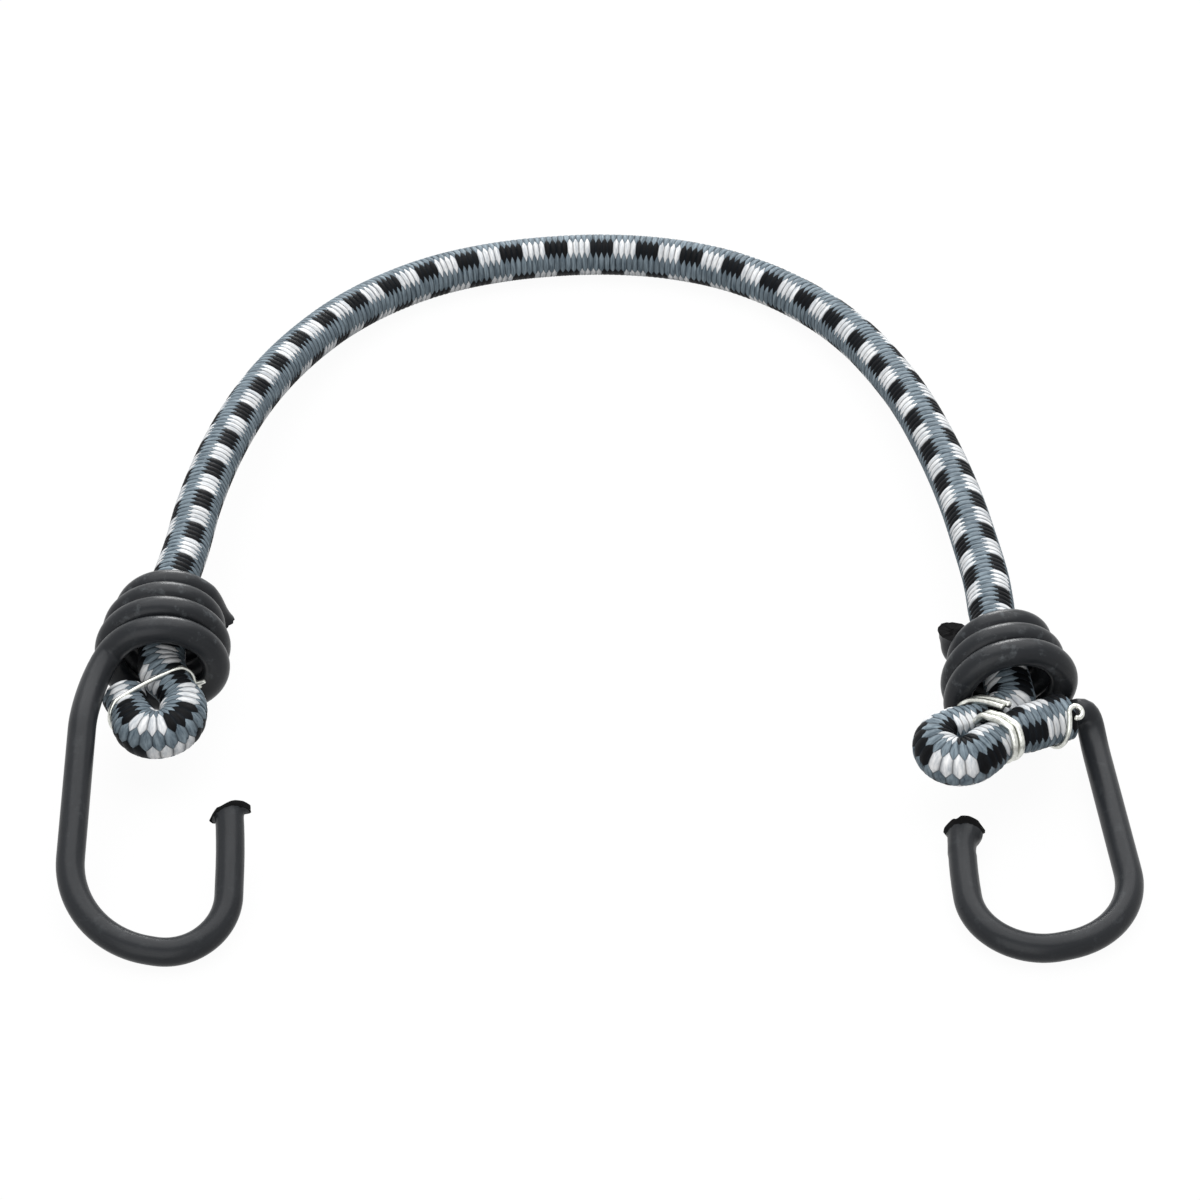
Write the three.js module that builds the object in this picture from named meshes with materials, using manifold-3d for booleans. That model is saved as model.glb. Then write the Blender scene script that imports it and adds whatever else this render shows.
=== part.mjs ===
// A short elastic tie-down: braided elastic cord with a coated wire hook wound on to each end.
// Millimetres. +Z is up, the hooks open towards -Y and the slack cord bows out behind them on +Y.
import * as THREE from "three";
import { mergeVertices } from "three/addons/utils/BufferGeometryUtils.js";
import Module from "manifold-3d";

// Fits
const seatGap = 0.3; // between pieces that touch
const weld = 0.001; // corners closer than this are one

// Elastic cord
const cordDiameter = 8.0;
const sheathWallShare = 0.144; // thicker cord has a thicker braid
const sheathWall = cordDiameter * sheathWallShare;
const sheathSides = 10;
const sheathBoreSides = 8;
const boreReach = (cordDiameter / 2 - sheathWall) * Math.cos(Math.PI / sheathBoreSides);
const outerStrands = 6; // round a middle one: three strands and two gaps fill half as much again
const strandDiameter = (boreReach - 2 * seatGap) / 1.5;
const strandCircleRadius = strandDiameter + seatGap;
const foldGap = 0.5; // between the two runs of a folded end
const foldBend = (cordDiameter + foldGap) / 2;
const cordFlatDepth = 0.8; // the slack cord is flat by this much where it lies
const lyingHeight = cordDiameter / 2 - cordFlatDepth; // of the cord's middle there
const runBehindCoil = 1.2; // straight cord past the narrow end of a hook's coil

// Hook wire and its coating
const wireDiameter = 2.7;
const coatGap = 0.25;
const coatBore = wireDiameter + 2 * coatGap;
const coatDiameter = 4.5;
const turnGap = 0.45; // between neighbouring turns of a coil
const coilPitch = coatDiameter + turnGap;
const neckRadius = cordDiameter / 2 + seatGap + coatDiameter / 2; // the narrow end grips the cord
const restFlatDepth = 0.5; // the wire is flat by this much where it rests
const endClearance = 0.9; // the wire stops this far inside its coating at the tip
const flareRadians = 0.9; // the end of the wire springs out of the coil over this much of a turn

// Counts
const coatSides = 8;
const boreSides = 6;
const wireSides = 6;
const strandSides = 5;
const tieSides = 6;
const stepsPerTurn = 24;
const bendSteps = 7;
const crossoverSteps = 6;
const slackSteps = 20;
const cornerStepDegrees = 20;
const coilTurns = 3.5;
const tieBendSteps = 8;
const bandSteps = 14;
const eyeSteps = 12;
const tiltRounds = 40;

// The two hooks are bent alike, but by hand, so each has its own sizes.
const leftHook = {
  name: "left",
  side: 1,
  mouth: { x: -73.6, y: 19.4 }, // middle of the coil's wide end
  yawDegrees: 0.4,
  throat: 25.6, // shank to tip, middle to middle
  reach: 56.7, // coil's mouth to the far side of the bend
  shankBend: 16.3,
  tipBend: 9.4,
  slantDegrees: 80.4,
  tipLength: 14.4,
  tipLeanDegrees: 1,
  shankShift: -1.6,
  shankStart: 17.0, // where the shank leaves the crossover to the coil
  shankLift: 3.1,
  bendLift: -6.9,
  crossoverPull: 4.5,
  coilStartDegrees: 40,
  mouthRadius: 9.1,
  secondRadius: 9.2,
  thirdRadius: 8.1,
  endFlare: 1.3,
};
const rightHook = {
  name: "right",
  side: -1,
  mouth: { x: 68.5, y: 11.4 },
  yawDegrees: 5.0,
  throat: 26.9,
  reach: 48.0,
  shankBend: 14.5,
  tipBend: 11.1,
  slantDegrees: 80.7,
  tipLength: 14.7,
  tipLeanDegrees: -2,
  shankShift: -0.1,
  shankStart: 7.7,
  shankLift: 6.2,
  bendLift: 6.3,
  crossoverPull: 9.3,
  coilStartDegrees: 38.6,
  mouthRadius: 9.05,
  secondRadius: 9.3,
  thirdRadius: 7.4,
  endFlare: 2.0,
};

// Route of each folded end from the coil's mouth to its cut end, as corners that are then rounded:
// across and along from the middle of the mouth, and height. The last run of each is the tail.
const leftFoldRoute = [
  [4.4, -7.4, 9.8],
  [4.6, -14.6, 9.3],
  [-1.9, -14.6, 9.1],
  [-7.5, -8.8, 8.2],
];
const rightFoldRoute = [
  [-14.8, -10.2, 11.4],
  [-10.2, -18.1, 11.4],
  [9.1, -7.1, 11.9],
];
const leftMouthRun = 0.2; // the cord leaves the coil's axis this far inside the mouth
const rightMouthRun = -2.2; // and this one this far in front of it

// Route of the slack cord between the two coils; heights are above where its middle lies.
const slackRoute = [
  [-71.8, 54.3, 8.4],
  [-70.1, 69.4, 7.8],
  [-67.5, 84.3, 6.9],
  [-63.5, 98.8, 5.5],
  [-58.0, 112.8, 3.4],
  [-50.6, 126.0, 1.6],
  [-40.7, 137.3, 0.5],
  [-27.9, 145.3, 0.0],
  [-13.4, 149.5, 0.0],
  [1.7, 150.5, 0.0],
  [16.7, 148.3, 0.0],
  [30.5, 142.2, 0.0],
  [41.8, 132.2, 0.3],
  [50.1, 119.6, 1.2],
  [55.9, 105.6, 2.6],
  [60.1, 91.1, 4.3],
  [63.0, 76.3, 5.7],
  [65.0, 61.3, 7.0],
  [66.5, 46.3, 8.1],
];

// Ties round the folded ends
const leftTie = { wire: 0.8, turns: 0.97, pitch: 0, alongShare: 0.62, skewDegrees: 0 };
const rightTie = { wire: 1.2, turns: 1.94, pitch: 1.7, alongShare: 0.34, skewDegrees: -8 };
const tailClip = {
  wire: 0.8,
  eyeRadius: 0.9,
  fromEnd: 1.4,
  startDegrees: -50,
  spanDegrees: 190,
  eyeDegrees: 290,
};

const plain = (colour, metalness, roughness) =>
  new THREE.MeshStandardMaterial({ color: colour, metalness, roughness });
const materials = {
  coat: () => plain(0x3a3d40, 0, 0.55),
  wire: () => plain(0x9a9c9e, 1, 0.4),
  sheath: () => plain(0x8593a0, 0, 0.85),
  strand: () => plain(0xcbb98a, 0, 0.8),
  tie: () => plain(0xb9bcb4, 1, 0.35),
};

const radians = THREE.MathUtils.degToRad;
const vector = (x, y, z) => new THREE.Vector3(x, y, z);

// A path made of the places that its sections stand at.
class Route extends THREE.Curve {
  constructor(places) {
    super();
    this.places = places;
  }

  indexAt(share) {
    return Math.round(share * (this.places.length - 1));
  }

  getPoint(share, target = new THREE.Vector3()) {
    return target.copy(this.places[this.indexAt(share)]);
  }

  getPointAt(share, target) {
    return this.getPoint(share, target);
  }

  getTangent(share, target = new THREE.Vector3()) {
    const index = this.indexAt(share);
    const before = this.places[Math.max(index - 1, 0)];
    const after = this.places[Math.min(index + 1, this.places.length - 1)];
    return target.subVectors(after, before).normalize();
  }

  getTangentAt(share, target) {
    return this.getTangent(share, target);
  }
}

function ringPoints(radius, sides, centre = new THREE.Vector2()) {
  return Array.from({ length: sides }, (_, side) => {
    const angle = (side / sides) * 2 * Math.PI;
    const spoke = new THREE.Vector2(Math.cos(angle), Math.sin(angle)).multiplyScalar(radius);
    return spoke.add(centre);
  });
}

// A round section swept along places: solid, or a tube where boreRadius is given.
function sweep(places, radius, sides, { boreRadius = 0, boreSides: holeSides = 0, centre } = {}) {
  const section = new THREE.Shape(ringPoints(radius, sides, centre));
  if (boreRadius > 0) section.holes.push(new THREE.Path(ringPoints(boreRadius, holeSides).reverse()));
  return new THREE.ExtrudeGeometry(section, {
    steps: places.length - 1,
    extrudePath: new Route(places),
    bevelEnabled: false,
  });
}

// Straight runs through the corners given, each corner rounded to the same bend.
function roundedRoute(corners, bend) {
  const places = [corners[0]];
  for (let index = 1; index < corners.length - 1; index += 1) {
    const corner = corners[index];
    const back = corners[index - 1].clone().sub(corner).normalize();
    const on = corners[index + 1].clone().sub(corner).normalize();
    const turn = Math.PI - back.angleTo(on);
    const start = corner.clone().addScaledVector(back, bend * Math.tan(turn / 2));
    const inward = back.clone().add(on).normalize();
    const middle = corner.clone().addScaledVector(inward, bend / Math.cos(turn / 2));
    const spoke = start.clone().sub(middle);
    const steps = Math.ceil(turn / radians(cornerStepDegrees));
    for (let step = 0; step <= steps; step += 1) {
      const angle = (step / steps) * turn;
      const place = middle.clone().addScaledVector(spoke, Math.cos(angle));
      places.push(place.addScaledVector(back, -bend * Math.sin(angle)));
    }
  }
  places.push(corners[corners.length - 1]);
  return places;
}

// Hook wire from its tip to its end behind the coil, about the coil's axis: x towards the shank,
// z from the mouth to the narrow end.
function hookPlaces(size) {
  const slant = radians(size.slantDegrees);
  const shankX = size.throat / 2 + size.shankShift;
  const across = size.throat - size.shankBend * (1 - Math.cos(slant)) - size.tipBend * (1 + Math.cos(slant));
  const outline = [];
  const pen = { x: shankX, out: 0, heading: 0 };
  const straight = (length) => {
    pen.x -= length * Math.sin(pen.heading);
    pen.out += length * Math.cos(pen.heading);
    outline.push({ x: pen.x, out: pen.out });
  };
  const bend = (radius, angle) => {
    const chord = 2 * radius * Math.sin(angle / bendSteps / 2);
    for (let step = 0; step < bendSteps; step += 1) {
      pen.heading += angle / bendSteps / 2;
      straight(chord);
      pen.heading += angle / bendSteps / 2;
    }
  };
  straight(0);
  bend(size.shankBend, slant);
  straight(across / Math.sin(slant));
  bend(size.tipBend, Math.PI - slant + radians(size.tipLeanDegrees));
  straight(size.tipLength);
  const farthest = Math.max(...outline.map((place) => place.out));
  const slope = (size.bendLift - size.shankLift) / (size.reach - size.shankStart);
  const bent = outline.reverse().map(({ x, out }) => {
    const reach = out + size.reach - farthest;
    return vector(x, size.shankLift + slope * (reach - size.shankStart), -reach);
  });

  const startAngle = radians(size.coilStartDegrees);
  const endAngle = coilTurns * 2 * Math.PI;
  const radiusAt = (angle) => {
    const radii = [size.mouthRadius, size.secondRadius, size.thirdRadius, neckRadius];
    const turn = THREE.MathUtils.clamp(angle / (2 * Math.PI) - 0.25, 0, radii.length - 1);
    const whole = Math.min(Math.floor(turn), radii.length - 2);
    const flare = THREE.MathUtils.clamp(angle - endAngle + flareRadians, 0, 1);
    return THREE.MathUtils.lerp(radii[whole], radii[whole + 1], turn - whole) + size.endFlare * flare * flare;
  };
  const coilPlace = (angle) => {
    const radius = radiusAt(angle);
    const depth = (coilPitch * (angle - Math.PI / 2)) / (2 * Math.PI);
    return vector(radius * Math.cos(angle), radius * Math.sin(angle), depth);
  };
  const coilSteps = Math.round(((endAngle - startAngle) / (2 * Math.PI)) * stepsPerTurn);
  const coil = Array.from({ length: coilSteps + 1 }, (_, step) =>
    coilPlace(startAngle + ((endAngle - startAngle) * step) / coilSteps),
  );
  const coilHeading = coilPlace(startAngle + radians(1)).sub(coil[0]).normalize();
  const shankPlace = vector(shankX, size.shankLift, -size.shankStart);
  const shankHeading = vector(0, -slope, 1).normalize();
  const crossover = new THREE.CubicBezierCurve3(
    shankPlace,
    shankPlace.clone().addScaledVector(shankHeading, size.crossoverPull),
    coil[0].clone().addScaledVector(coilHeading, -size.crossoverPull),
    coil[0],
  );
  const between = crossover.getPoints(crossoverSteps).slice(0, -1);
  return { bent, places: [...bent, ...between, ...coil], coil };
}

// How the hook lies: level across, tilted until its bend and its coil both rest.
function hookStance(size, shape) {
  const frameAt = (tilt) => {
    const yaw = radians(size.yawDegrees);
    const along = vector(-Math.sin(yaw) * Math.cos(tilt), Math.cos(yaw) * Math.cos(tilt), Math.sin(tilt));
    const across = vector(-Math.cos(yaw), -Math.sin(yaw), 0).multiplyScalar(size.side);
    return new THREE.Matrix4().makeBasis(across, along.clone().cross(across), along);
  };
  const lowest = (places, frame) => Math.min(...places.map((place) => place.clone().applyMatrix4(frame).z));
  let low = -Math.PI / 8;
  let high = Math.PI / 8;
  for (let round = 0; round < tiltRounds; round += 1) {
    const tilt = (low + high) / 2;
    const frame = frameAt(tilt);
    if (lowest(shape.bent, frame) < lowest(shape.coil, frame)) high = tilt;
    else low = tilt;
  }
  const frame = frameAt((low + high) / 2);
  const height = coatDiameter / 2 - restFlatDepth - lowest(shape.coil, frame);
  return frame.setPosition(size.mouth.x, size.mouth.y, height);
}

const wasm = await Module();
wasm.setup();

function solidOf(geometry) {
  const bare = geometry.index ? geometry.toNonIndexed() : geometry.clone();
  bare.deleteAttribute("normal");
  bare.deleteAttribute("uv");
  const merged = mergeVertices(bare, weld);
  return new wasm.Manifold(
    new wasm.Mesh({
      numProp: 3,
      vertProperties: merged.attributes.position.array,
      triVerts: new Uint32Array(merged.index.array),
    }),
  );
}

function geometryOf(solid) {
  const made = solid.getMesh();
  const geometry = new THREE.BufferGeometry();
  geometry.setAttribute("position", new THREE.BufferAttribute(made.vertProperties, made.numProp));
  geometry.setIndex(new THREE.BufferAttribute(made.triVerts, 1));
  geometry.computeVertexNormals();
  return geometry;
}

// Cuts off what lies below the surface that the part rests on.
function flatWhereItRests(geometry, stance) {
  geometry.computeBoundingSphere();
  const { center, radius } = geometry.boundingSphere;
  const span = 4 * (center.length() + radius);
  const below = new THREE.BoxGeometry(span, span, span).translate(0, 0, -span / 2);
  below.applyMatrix4(stance.clone().invert());
  return geometryOf(solidOf(geometry).subtract(solidOf(below)));
}

function mesh(name, geometry, material) {
  const made = new THREE.Mesh(geometry, material);
  made.name = name;
  return made;
}

// Least distance between places of a winding that are at least half a turn apart along it.
function leastGap(places, skip, diameter) {
  let least = Infinity;
  places.forEach((place, index) => {
    places.slice(index + skip).forEach((other) => {
      least = Math.min(least, place.distanceTo(other));
    });
  });
  return least - diameter;
}

function buildHook(size) {
  const shape = hookPlaces(size);
  const stance = hookStance(size, shape);
  const coat = sweep(shape.places, coatDiameter / 2, coatSides, { boreRadius: coatBore / 2, boreSides });
  const core = [...shape.places];
  core[0] = core[0].clone().add(core[1].clone().sub(core[0]).setLength(endClearance));
  const group = new THREE.Group();
  group.name = size.name + "_hook";
  group.add(mesh(group.name + "_coat", flatWhereItRests(coat, stance), materials.coat()));
  group.add(mesh(group.name + "_wire", sweep(core, wireDiameter / 2, wireSides), materials.wire()));
  group.applyMatrix4(stance);
  const gap = leastGap(shape.coil, stepsPerTurn / 2, coatDiameter);
  console.log(group.name, "least gap in its coil", gap.toFixed(2));
  const along = new THREE.Vector3().setFromMatrixColumn(stance, 2);
  const mouth = new THREE.Vector3().setFromMatrixPosition(stance);
  const depth = shape.coil[shape.coil.length - 1].z + coatDiameter / 2 + runBehindCoil;
  const axisPlace = (distance) => mouth.clone().addScaledVector(along, distance);
  return { group, axisPlace, depth, along, mouth };
}

// The cord along places: braided sheath and, in it, the elastic strands.
function cordMeshes(name, places) {
  const sheath = sweep(places, cordDiameter / 2, sheathSides, {
    boreRadius: cordDiameter / 2 - sheathWall,
    boreSides: sheathBoreSides,
  });
  const made = [mesh(name + "_sheath", sheath, materials.sheath())];
  const centres = [new THREE.Vector2(), ...ringPoints(strandCircleRadius, outerStrands)];
  centres.forEach((centre, index) => {
    const strand = sweep(places, strandDiameter / 2, strandSides, { centre });
    made.push(mesh(name + "_strand_" + (index + 1), strand, materials.strand()));
  });
  return made;
}

// A wire wound round both runs of a folded end, square to them but for its skew.
function buildTie(name, tie, run, otherRun) {
  const runHeading = run[1].clone().sub(run[0]).normalize();
  const first = run[0].clone().lerp(run[1], tie.alongShare);
  const toOther = otherRun[0].clone().sub(first);
  const otherHeading = otherRun[1].clone().sub(otherRun[0]).normalize();
  const second = otherRun[0].clone().addScaledVector(otherHeading, -toOther.dot(otherHeading));
  const across = second.clone().sub(first);
  const between = across.length();
  across.normalize();
  const up = across.clone().cross(runHeading).normalize();
  const out = up.clone().cross(across).applyAxisAngle(up, radians(tie.skewDegrees));
  const skewed = out.clone().cross(up).normalize();
  const reach = cordDiameter / 2 / Math.cos(radians(tie.skewDegrees)) + seatGap + tie.wire / 2;
  const half = between / 2 / Math.cos(radians(tie.skewDegrees));
  const around = [half, -half].flatMap((sideways, end) =>
    Array.from({ length: tieBendSteps + 1 }, (_, step) => {
      const angle = (step / tieBendSteps + end - 0.5) * Math.PI;
      return [sideways + reach * Math.cos(angle), reach * Math.sin(angle)];
    }),
  );
  const middle = first.clone().lerp(second, 0.5);
  const perTurn = around.length;
  const count = Math.round(perTurn * tie.turns);
  const places = Array.from({ length: count }, (_, index) => {
    const [sideways, rise] = around[(index + tieBendSteps / 2) % perTurn];
    const forward = (index / perTurn - tie.turns / 2) * tie.pitch;
    return middle
      .clone()
      .addScaledVector(skewed, sideways)
      .addScaledVector(up, rise)
      .addScaledVector(out, forward);
  });
  return mesh(name, sweep(places, tie.wire / 2, tieSides), materials.tie());
}

// A wire clip bent round the tail near its cut end, its own end curled into an eye.
function buildTailClip(name, clip, tailRun) {
  const heading = tailRun[1].clone().sub(tailRun[0]).normalize();
  const centre = tailRun[1].clone().addScaledVector(heading, -clip.fromEnd);
  const outward = vector(heading.y, -heading.x, 0).normalize();
  const up = outward.clone().cross(heading).negate();
  if (up.z < 0) up.negate();
  const reach = cordDiameter / 2 + seatGap + clip.wire / 2;
  const spoke = (angle) =>
    outward.clone().multiplyScalar(Math.cos(angle)).addScaledVector(up, Math.sin(angle));
  const places = [];
  for (let step = 0; step <= bandSteps; step += 1) {
    const angle = radians(clip.startDegrees + (clip.spanDegrees * step) / bandSteps);
    places.push(centre.clone().addScaledVector(spoke(angle), reach));
  }
  const lastAngle = radians(clip.startDegrees + clip.spanDegrees);
  const eyeMiddle = centre.clone().addScaledVector(spoke(lastAngle), reach + clip.eyeRadius);
  for (let step = 1; step <= eyeSteps; step += 1) {
    const angle = lastAngle + Math.PI - radians((clip.eyeDegrees * step) / eyeSteps);
    places.push(eyeMiddle.clone().addScaledVector(spoke(angle), clip.eyeRadius));
  }
  return mesh(name, sweep(places, clip.wire / 2, tieSides), materials.tie());
}

const left = buildHook(leftHook);
const right = buildHook(rightHook);

function foldCorners({ axisPlace, depth, mouth }, mouthRun, route) {
  const corners = route.map(([x, y, height]) => vector(mouth.x + x, mouth.y + y, height));
  return [axisPlace(depth), axisPlace(mouthRun), ...corners];
}
const leftCorners = foldCorners(left, leftMouthRun, leftFoldRoute);
const rightCorners = foldCorners(right, rightMouthRun, rightFoldRoute);
const leftFold = roundedRoute(leftCorners, foldBend);
const rightFold = roundedRoute(rightCorners, foldBend);

const slackStart = left.depth + seatGap;
const slackEnd = right.depth + seatGap;
const slackLine = new THREE.CatmullRomCurve3(
  [
    left.axisPlace(slackStart + cordDiameter / 2),
    left.axisPlace(slackStart + cordDiameter),
    ...slackRoute.map(([x, y, height]) => vector(x, y, lyingHeight + height)),
    right.axisPlace(slackEnd + cordDiameter),
    right.axisPlace(slackEnd + cordDiameter / 2),
  ],
  false,
  "centripetal",
);
const slack = [
  left.axisPlace(slackStart),
  ...slackLine.getSpacedPoints(slackSteps),
  right.axisPlace(slackEnd),
];
console.log("slack cord", slackLine.getLength().toFixed(1), "long");

const part = new THREE.Group();
part.name = "elastic_tie_down";
part.add(left.group, right.group);
part.add(...cordMeshes("left_fold", leftFold));
part.add(...cordMeshes("right_fold", rightFold));
const slackMeshes = cordMeshes("slack", slack);
slackMeshes[0].geometry = flatWhereItRests(slackMeshes[0].geometry, new THREE.Matrix4());
part.add(...slackMeshes);
const leftTail = [leftCorners[4], leftCorners[5]];
const rightTail = [rightCorners[3], rightCorners[4]];
part.add(buildTie("left_fold_tie", leftTie, leftTail, [leftCorners[2], leftCorners[1]]));
part.add(buildTie("right_fold_tie", rightTie, rightTail, [rightCorners[2], rightCorners[1]]));
part.add(buildTailClip("right_tail_clip", tailClip, rightTail));

const listed = (place, digits) => place.toArray().map((value) => value.toFixed(digits)).join(", ");
for (const { group, mouth, along } of [left, right]) {
  console.log(group.name, "turns about", listed(mouth, 3), "along", listed(along, 5));
}

export default part;
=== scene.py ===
"""Looks of a short elastic tie-down: braided elastic cord with a coated wire hook on each end."""

import bisect
import logging
import math
from collections.abc import Callable, Sequence
from dataclasses import dataclass
from enum import Enum
from functools import partial

import bmesh
import bpy
from mathutils import Matrix, Vector, noise
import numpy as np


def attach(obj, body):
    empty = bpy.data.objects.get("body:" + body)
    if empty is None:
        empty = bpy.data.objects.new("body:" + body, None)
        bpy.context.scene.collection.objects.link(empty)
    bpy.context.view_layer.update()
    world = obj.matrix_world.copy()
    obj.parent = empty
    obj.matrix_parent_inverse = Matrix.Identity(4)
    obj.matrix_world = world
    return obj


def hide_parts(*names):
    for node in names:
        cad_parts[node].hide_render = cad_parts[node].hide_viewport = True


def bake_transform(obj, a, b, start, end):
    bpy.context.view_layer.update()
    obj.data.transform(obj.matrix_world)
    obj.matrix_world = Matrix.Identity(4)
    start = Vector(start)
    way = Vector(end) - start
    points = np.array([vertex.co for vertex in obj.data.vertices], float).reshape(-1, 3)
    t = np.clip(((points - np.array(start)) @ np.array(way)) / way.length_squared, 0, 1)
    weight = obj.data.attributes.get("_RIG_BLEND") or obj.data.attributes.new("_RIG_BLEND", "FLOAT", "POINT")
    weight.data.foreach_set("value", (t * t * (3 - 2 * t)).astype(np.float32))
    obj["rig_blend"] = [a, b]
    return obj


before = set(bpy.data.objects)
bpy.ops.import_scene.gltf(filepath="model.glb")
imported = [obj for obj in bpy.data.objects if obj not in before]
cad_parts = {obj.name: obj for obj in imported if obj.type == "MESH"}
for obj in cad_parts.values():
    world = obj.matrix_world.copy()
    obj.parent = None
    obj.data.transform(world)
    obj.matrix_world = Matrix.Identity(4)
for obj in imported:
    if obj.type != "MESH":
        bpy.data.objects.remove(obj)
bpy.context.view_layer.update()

log = logging.getLogger("tie_down")
logging.basicConfig(level=logging.INFO, format="%(name)s: %(message)s")

Point = tuple[float, float, float]
Row = tuple[float, float]
Colour = tuple[float, float, float, float]
Inputs = dict[int | str, object] | Sequence[object]
Adder = Callable[..., bpy.types.Node]
MM = 0.001
UP = Vector((0.0, 0.0, 1.0))
TURN = 2.0 * math.pi
GOLDEN_ANGLE = 2.4  # radians, so that neighbours differ
CURVE_STEPS = 24  # places in a span of a smooth line, and in a rounded corner
SHARP_BEND = math.radians(50.0)  # edges that bend more are shown sharp
WIRE_ROUNDING = 0.25  # length of a round wire's rounded end, as a share of its radius
WIRE_FACE = 0.72  # radius of the flat left at that end, as a share of the wire's

# What a mesh tells its material. Lay holds, on a cord, the cosine and sine of the angle from a row of
# checks and the picks along it; on a hook, those of the angle round the wire and millimetres along it.
LAY = "lay"
WEAR = "wear"  # on a hook: how far its coating is rubbed; below zero where it is torn and painted near black as painted shade

# Settings of a Mix node for two colours. Its input 0 is the share of the second, 6 and 7 are the
# colours, and its output 2 is the mix.
TWO_COLOURS = {"data_type": "RGBA", "clamp_factor": True}
NOISE = {"Detail": 4.0, "Roughness": 0.65}  # inputs that noise textures share
WHITE = (1.0, 1.0, 1.0, 1.0)

# Braid: carriers bunched up by the slack core, in rows of checks with plain ground between.
CHECK_LENGTH = 9.18 * MM  # one white and one black block
PICKS_PER_CHECK = 8
PICK = CHECK_LENGTH / PICKS_PER_CHECK
RING_STEP = PICK / 5.0  # between the rings of a cord's skin
ROWS = 4  # rows of checks round the cord
ROW_STAGGER = -2.0  # picks that each row is ahead of the one before
FULL_HALF_ROW = math.radians(16.0)  # half of a row where its picks fill it
TOOTH_HALF_ROW = math.radians(33.0)  # half of a row to the tips of its picks
CORD_RADIUS = 4.0 * MM
SHEATH_WALL = 1.15 * MM


class Side(Enum):
    """Which end of the cord a piece belongs to; the value turns the hook's shank outwards."""

    LEFT = 1.0
    RIGHT = -1.0

    @property
    def word(self) -> str:
        """The name used in the names of the pieces."""
        return self.name.lower()


class Slot(Enum):
    """Material slots of the record."""

    COATING = "hook_coating"
    STEEL = "hook_steel"
    SHEATH = "braided_sheath"
    STRAND = "elastic_strand"
    TIE = "tie_wire"


def linear(code: str) -> Colour:
    """Linear colour of an sRGB hex code.

    Args:
        code: Six hex digits.

    Returns:
        Red, green, blue and alpha.
    """
    parts = [int(code[i : i + 2], 16) / 255.0 for i in (0, 2, 4)]
    curve = [c / 12.92 if c <= 0.04045 else ((c + 0.055) / 1.055) ** 2.4 for c in parts]
    return (curve[0], curve[1], curve[2], 1.0)


def polar(angle: float, reach: float = 1.0, height: float = 0.0) -> Point:
    """Place at an angle round the z axis, at a reach from it and a height along it."""
    return reach * math.cos(angle), reach * math.sin(angle), height


def add_node(tree: bpy.types.NodeTree, kind: str, inputs: Inputs = (), **settings: object) -> bpy.types.Node:
    """Adds a node with its settings, and links or sets its inputs.

    Args:
        tree: Node tree that gets the node.
        kind: The node's type without its ShaderNode prefix.
        inputs: What each input gets, in order, or by index or name: a value, a hex colour, an output
            socket, or a node that gives its first output.
        **settings: Properties of the node.

    Returns:
        The node.
    """
    node = tree.nodes.new("ShaderNode" + kind)
    for name, value in settings.items():
        setattr(node, name, value)
    for key, value in inputs.items() if isinstance(inputs, dict) else enumerate(inputs):
        if isinstance(value, bpy.types.Node):
            tree.links.new(value.outputs[0], node.inputs[key])
        elif isinstance(value, bpy.types.NodeSocket):
            tree.links.new(value, node.inputs[key])
        else:
            node.inputs[key].default_value = linear(value) if isinstance(value, str) else value
    return node


def new_nodes(owner: bpy.types.Material | bpy.types.World) -> Adder:
    """Empties the nodes of a material or a world, and gives the function that adds nodes to it.

    Args:
        owner: The material or world.

    Returns:
        The function.
    """
    owner.use_nodes = True
    owner.node_tree.nodes.clear()
    return partial(add_node, owner.node_tree)


class Finish:
    """How a surface looks. Each kind has a name and says what its shader's sockets get."""

    name: str
    bump_share: float
    bump_depth: float

    @property
    def bump(self) -> dict[str, object]:
        """Inputs of the finish's Bump node, but for the height."""
        return {"Strength": self.bump_share, "Distance": self.bump_depth}

    def sockets(self, add: Adder) -> dict[str, object]:
        """What the sockets of the Principled shader get, by their names."""
        raise NotImplementedError

    def material(self) -> bpy.types.Material:
        """Makes the material: a Principled shader with its sockets fed, and the output.

        Returns:
            The material.
        """
        material = bpy.data.materials.new(self.name)
        add = new_nodes(material)
        add("OutputMaterial", (add("BsdfPrincipled", self.sockets(add)),))
        return material


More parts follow.
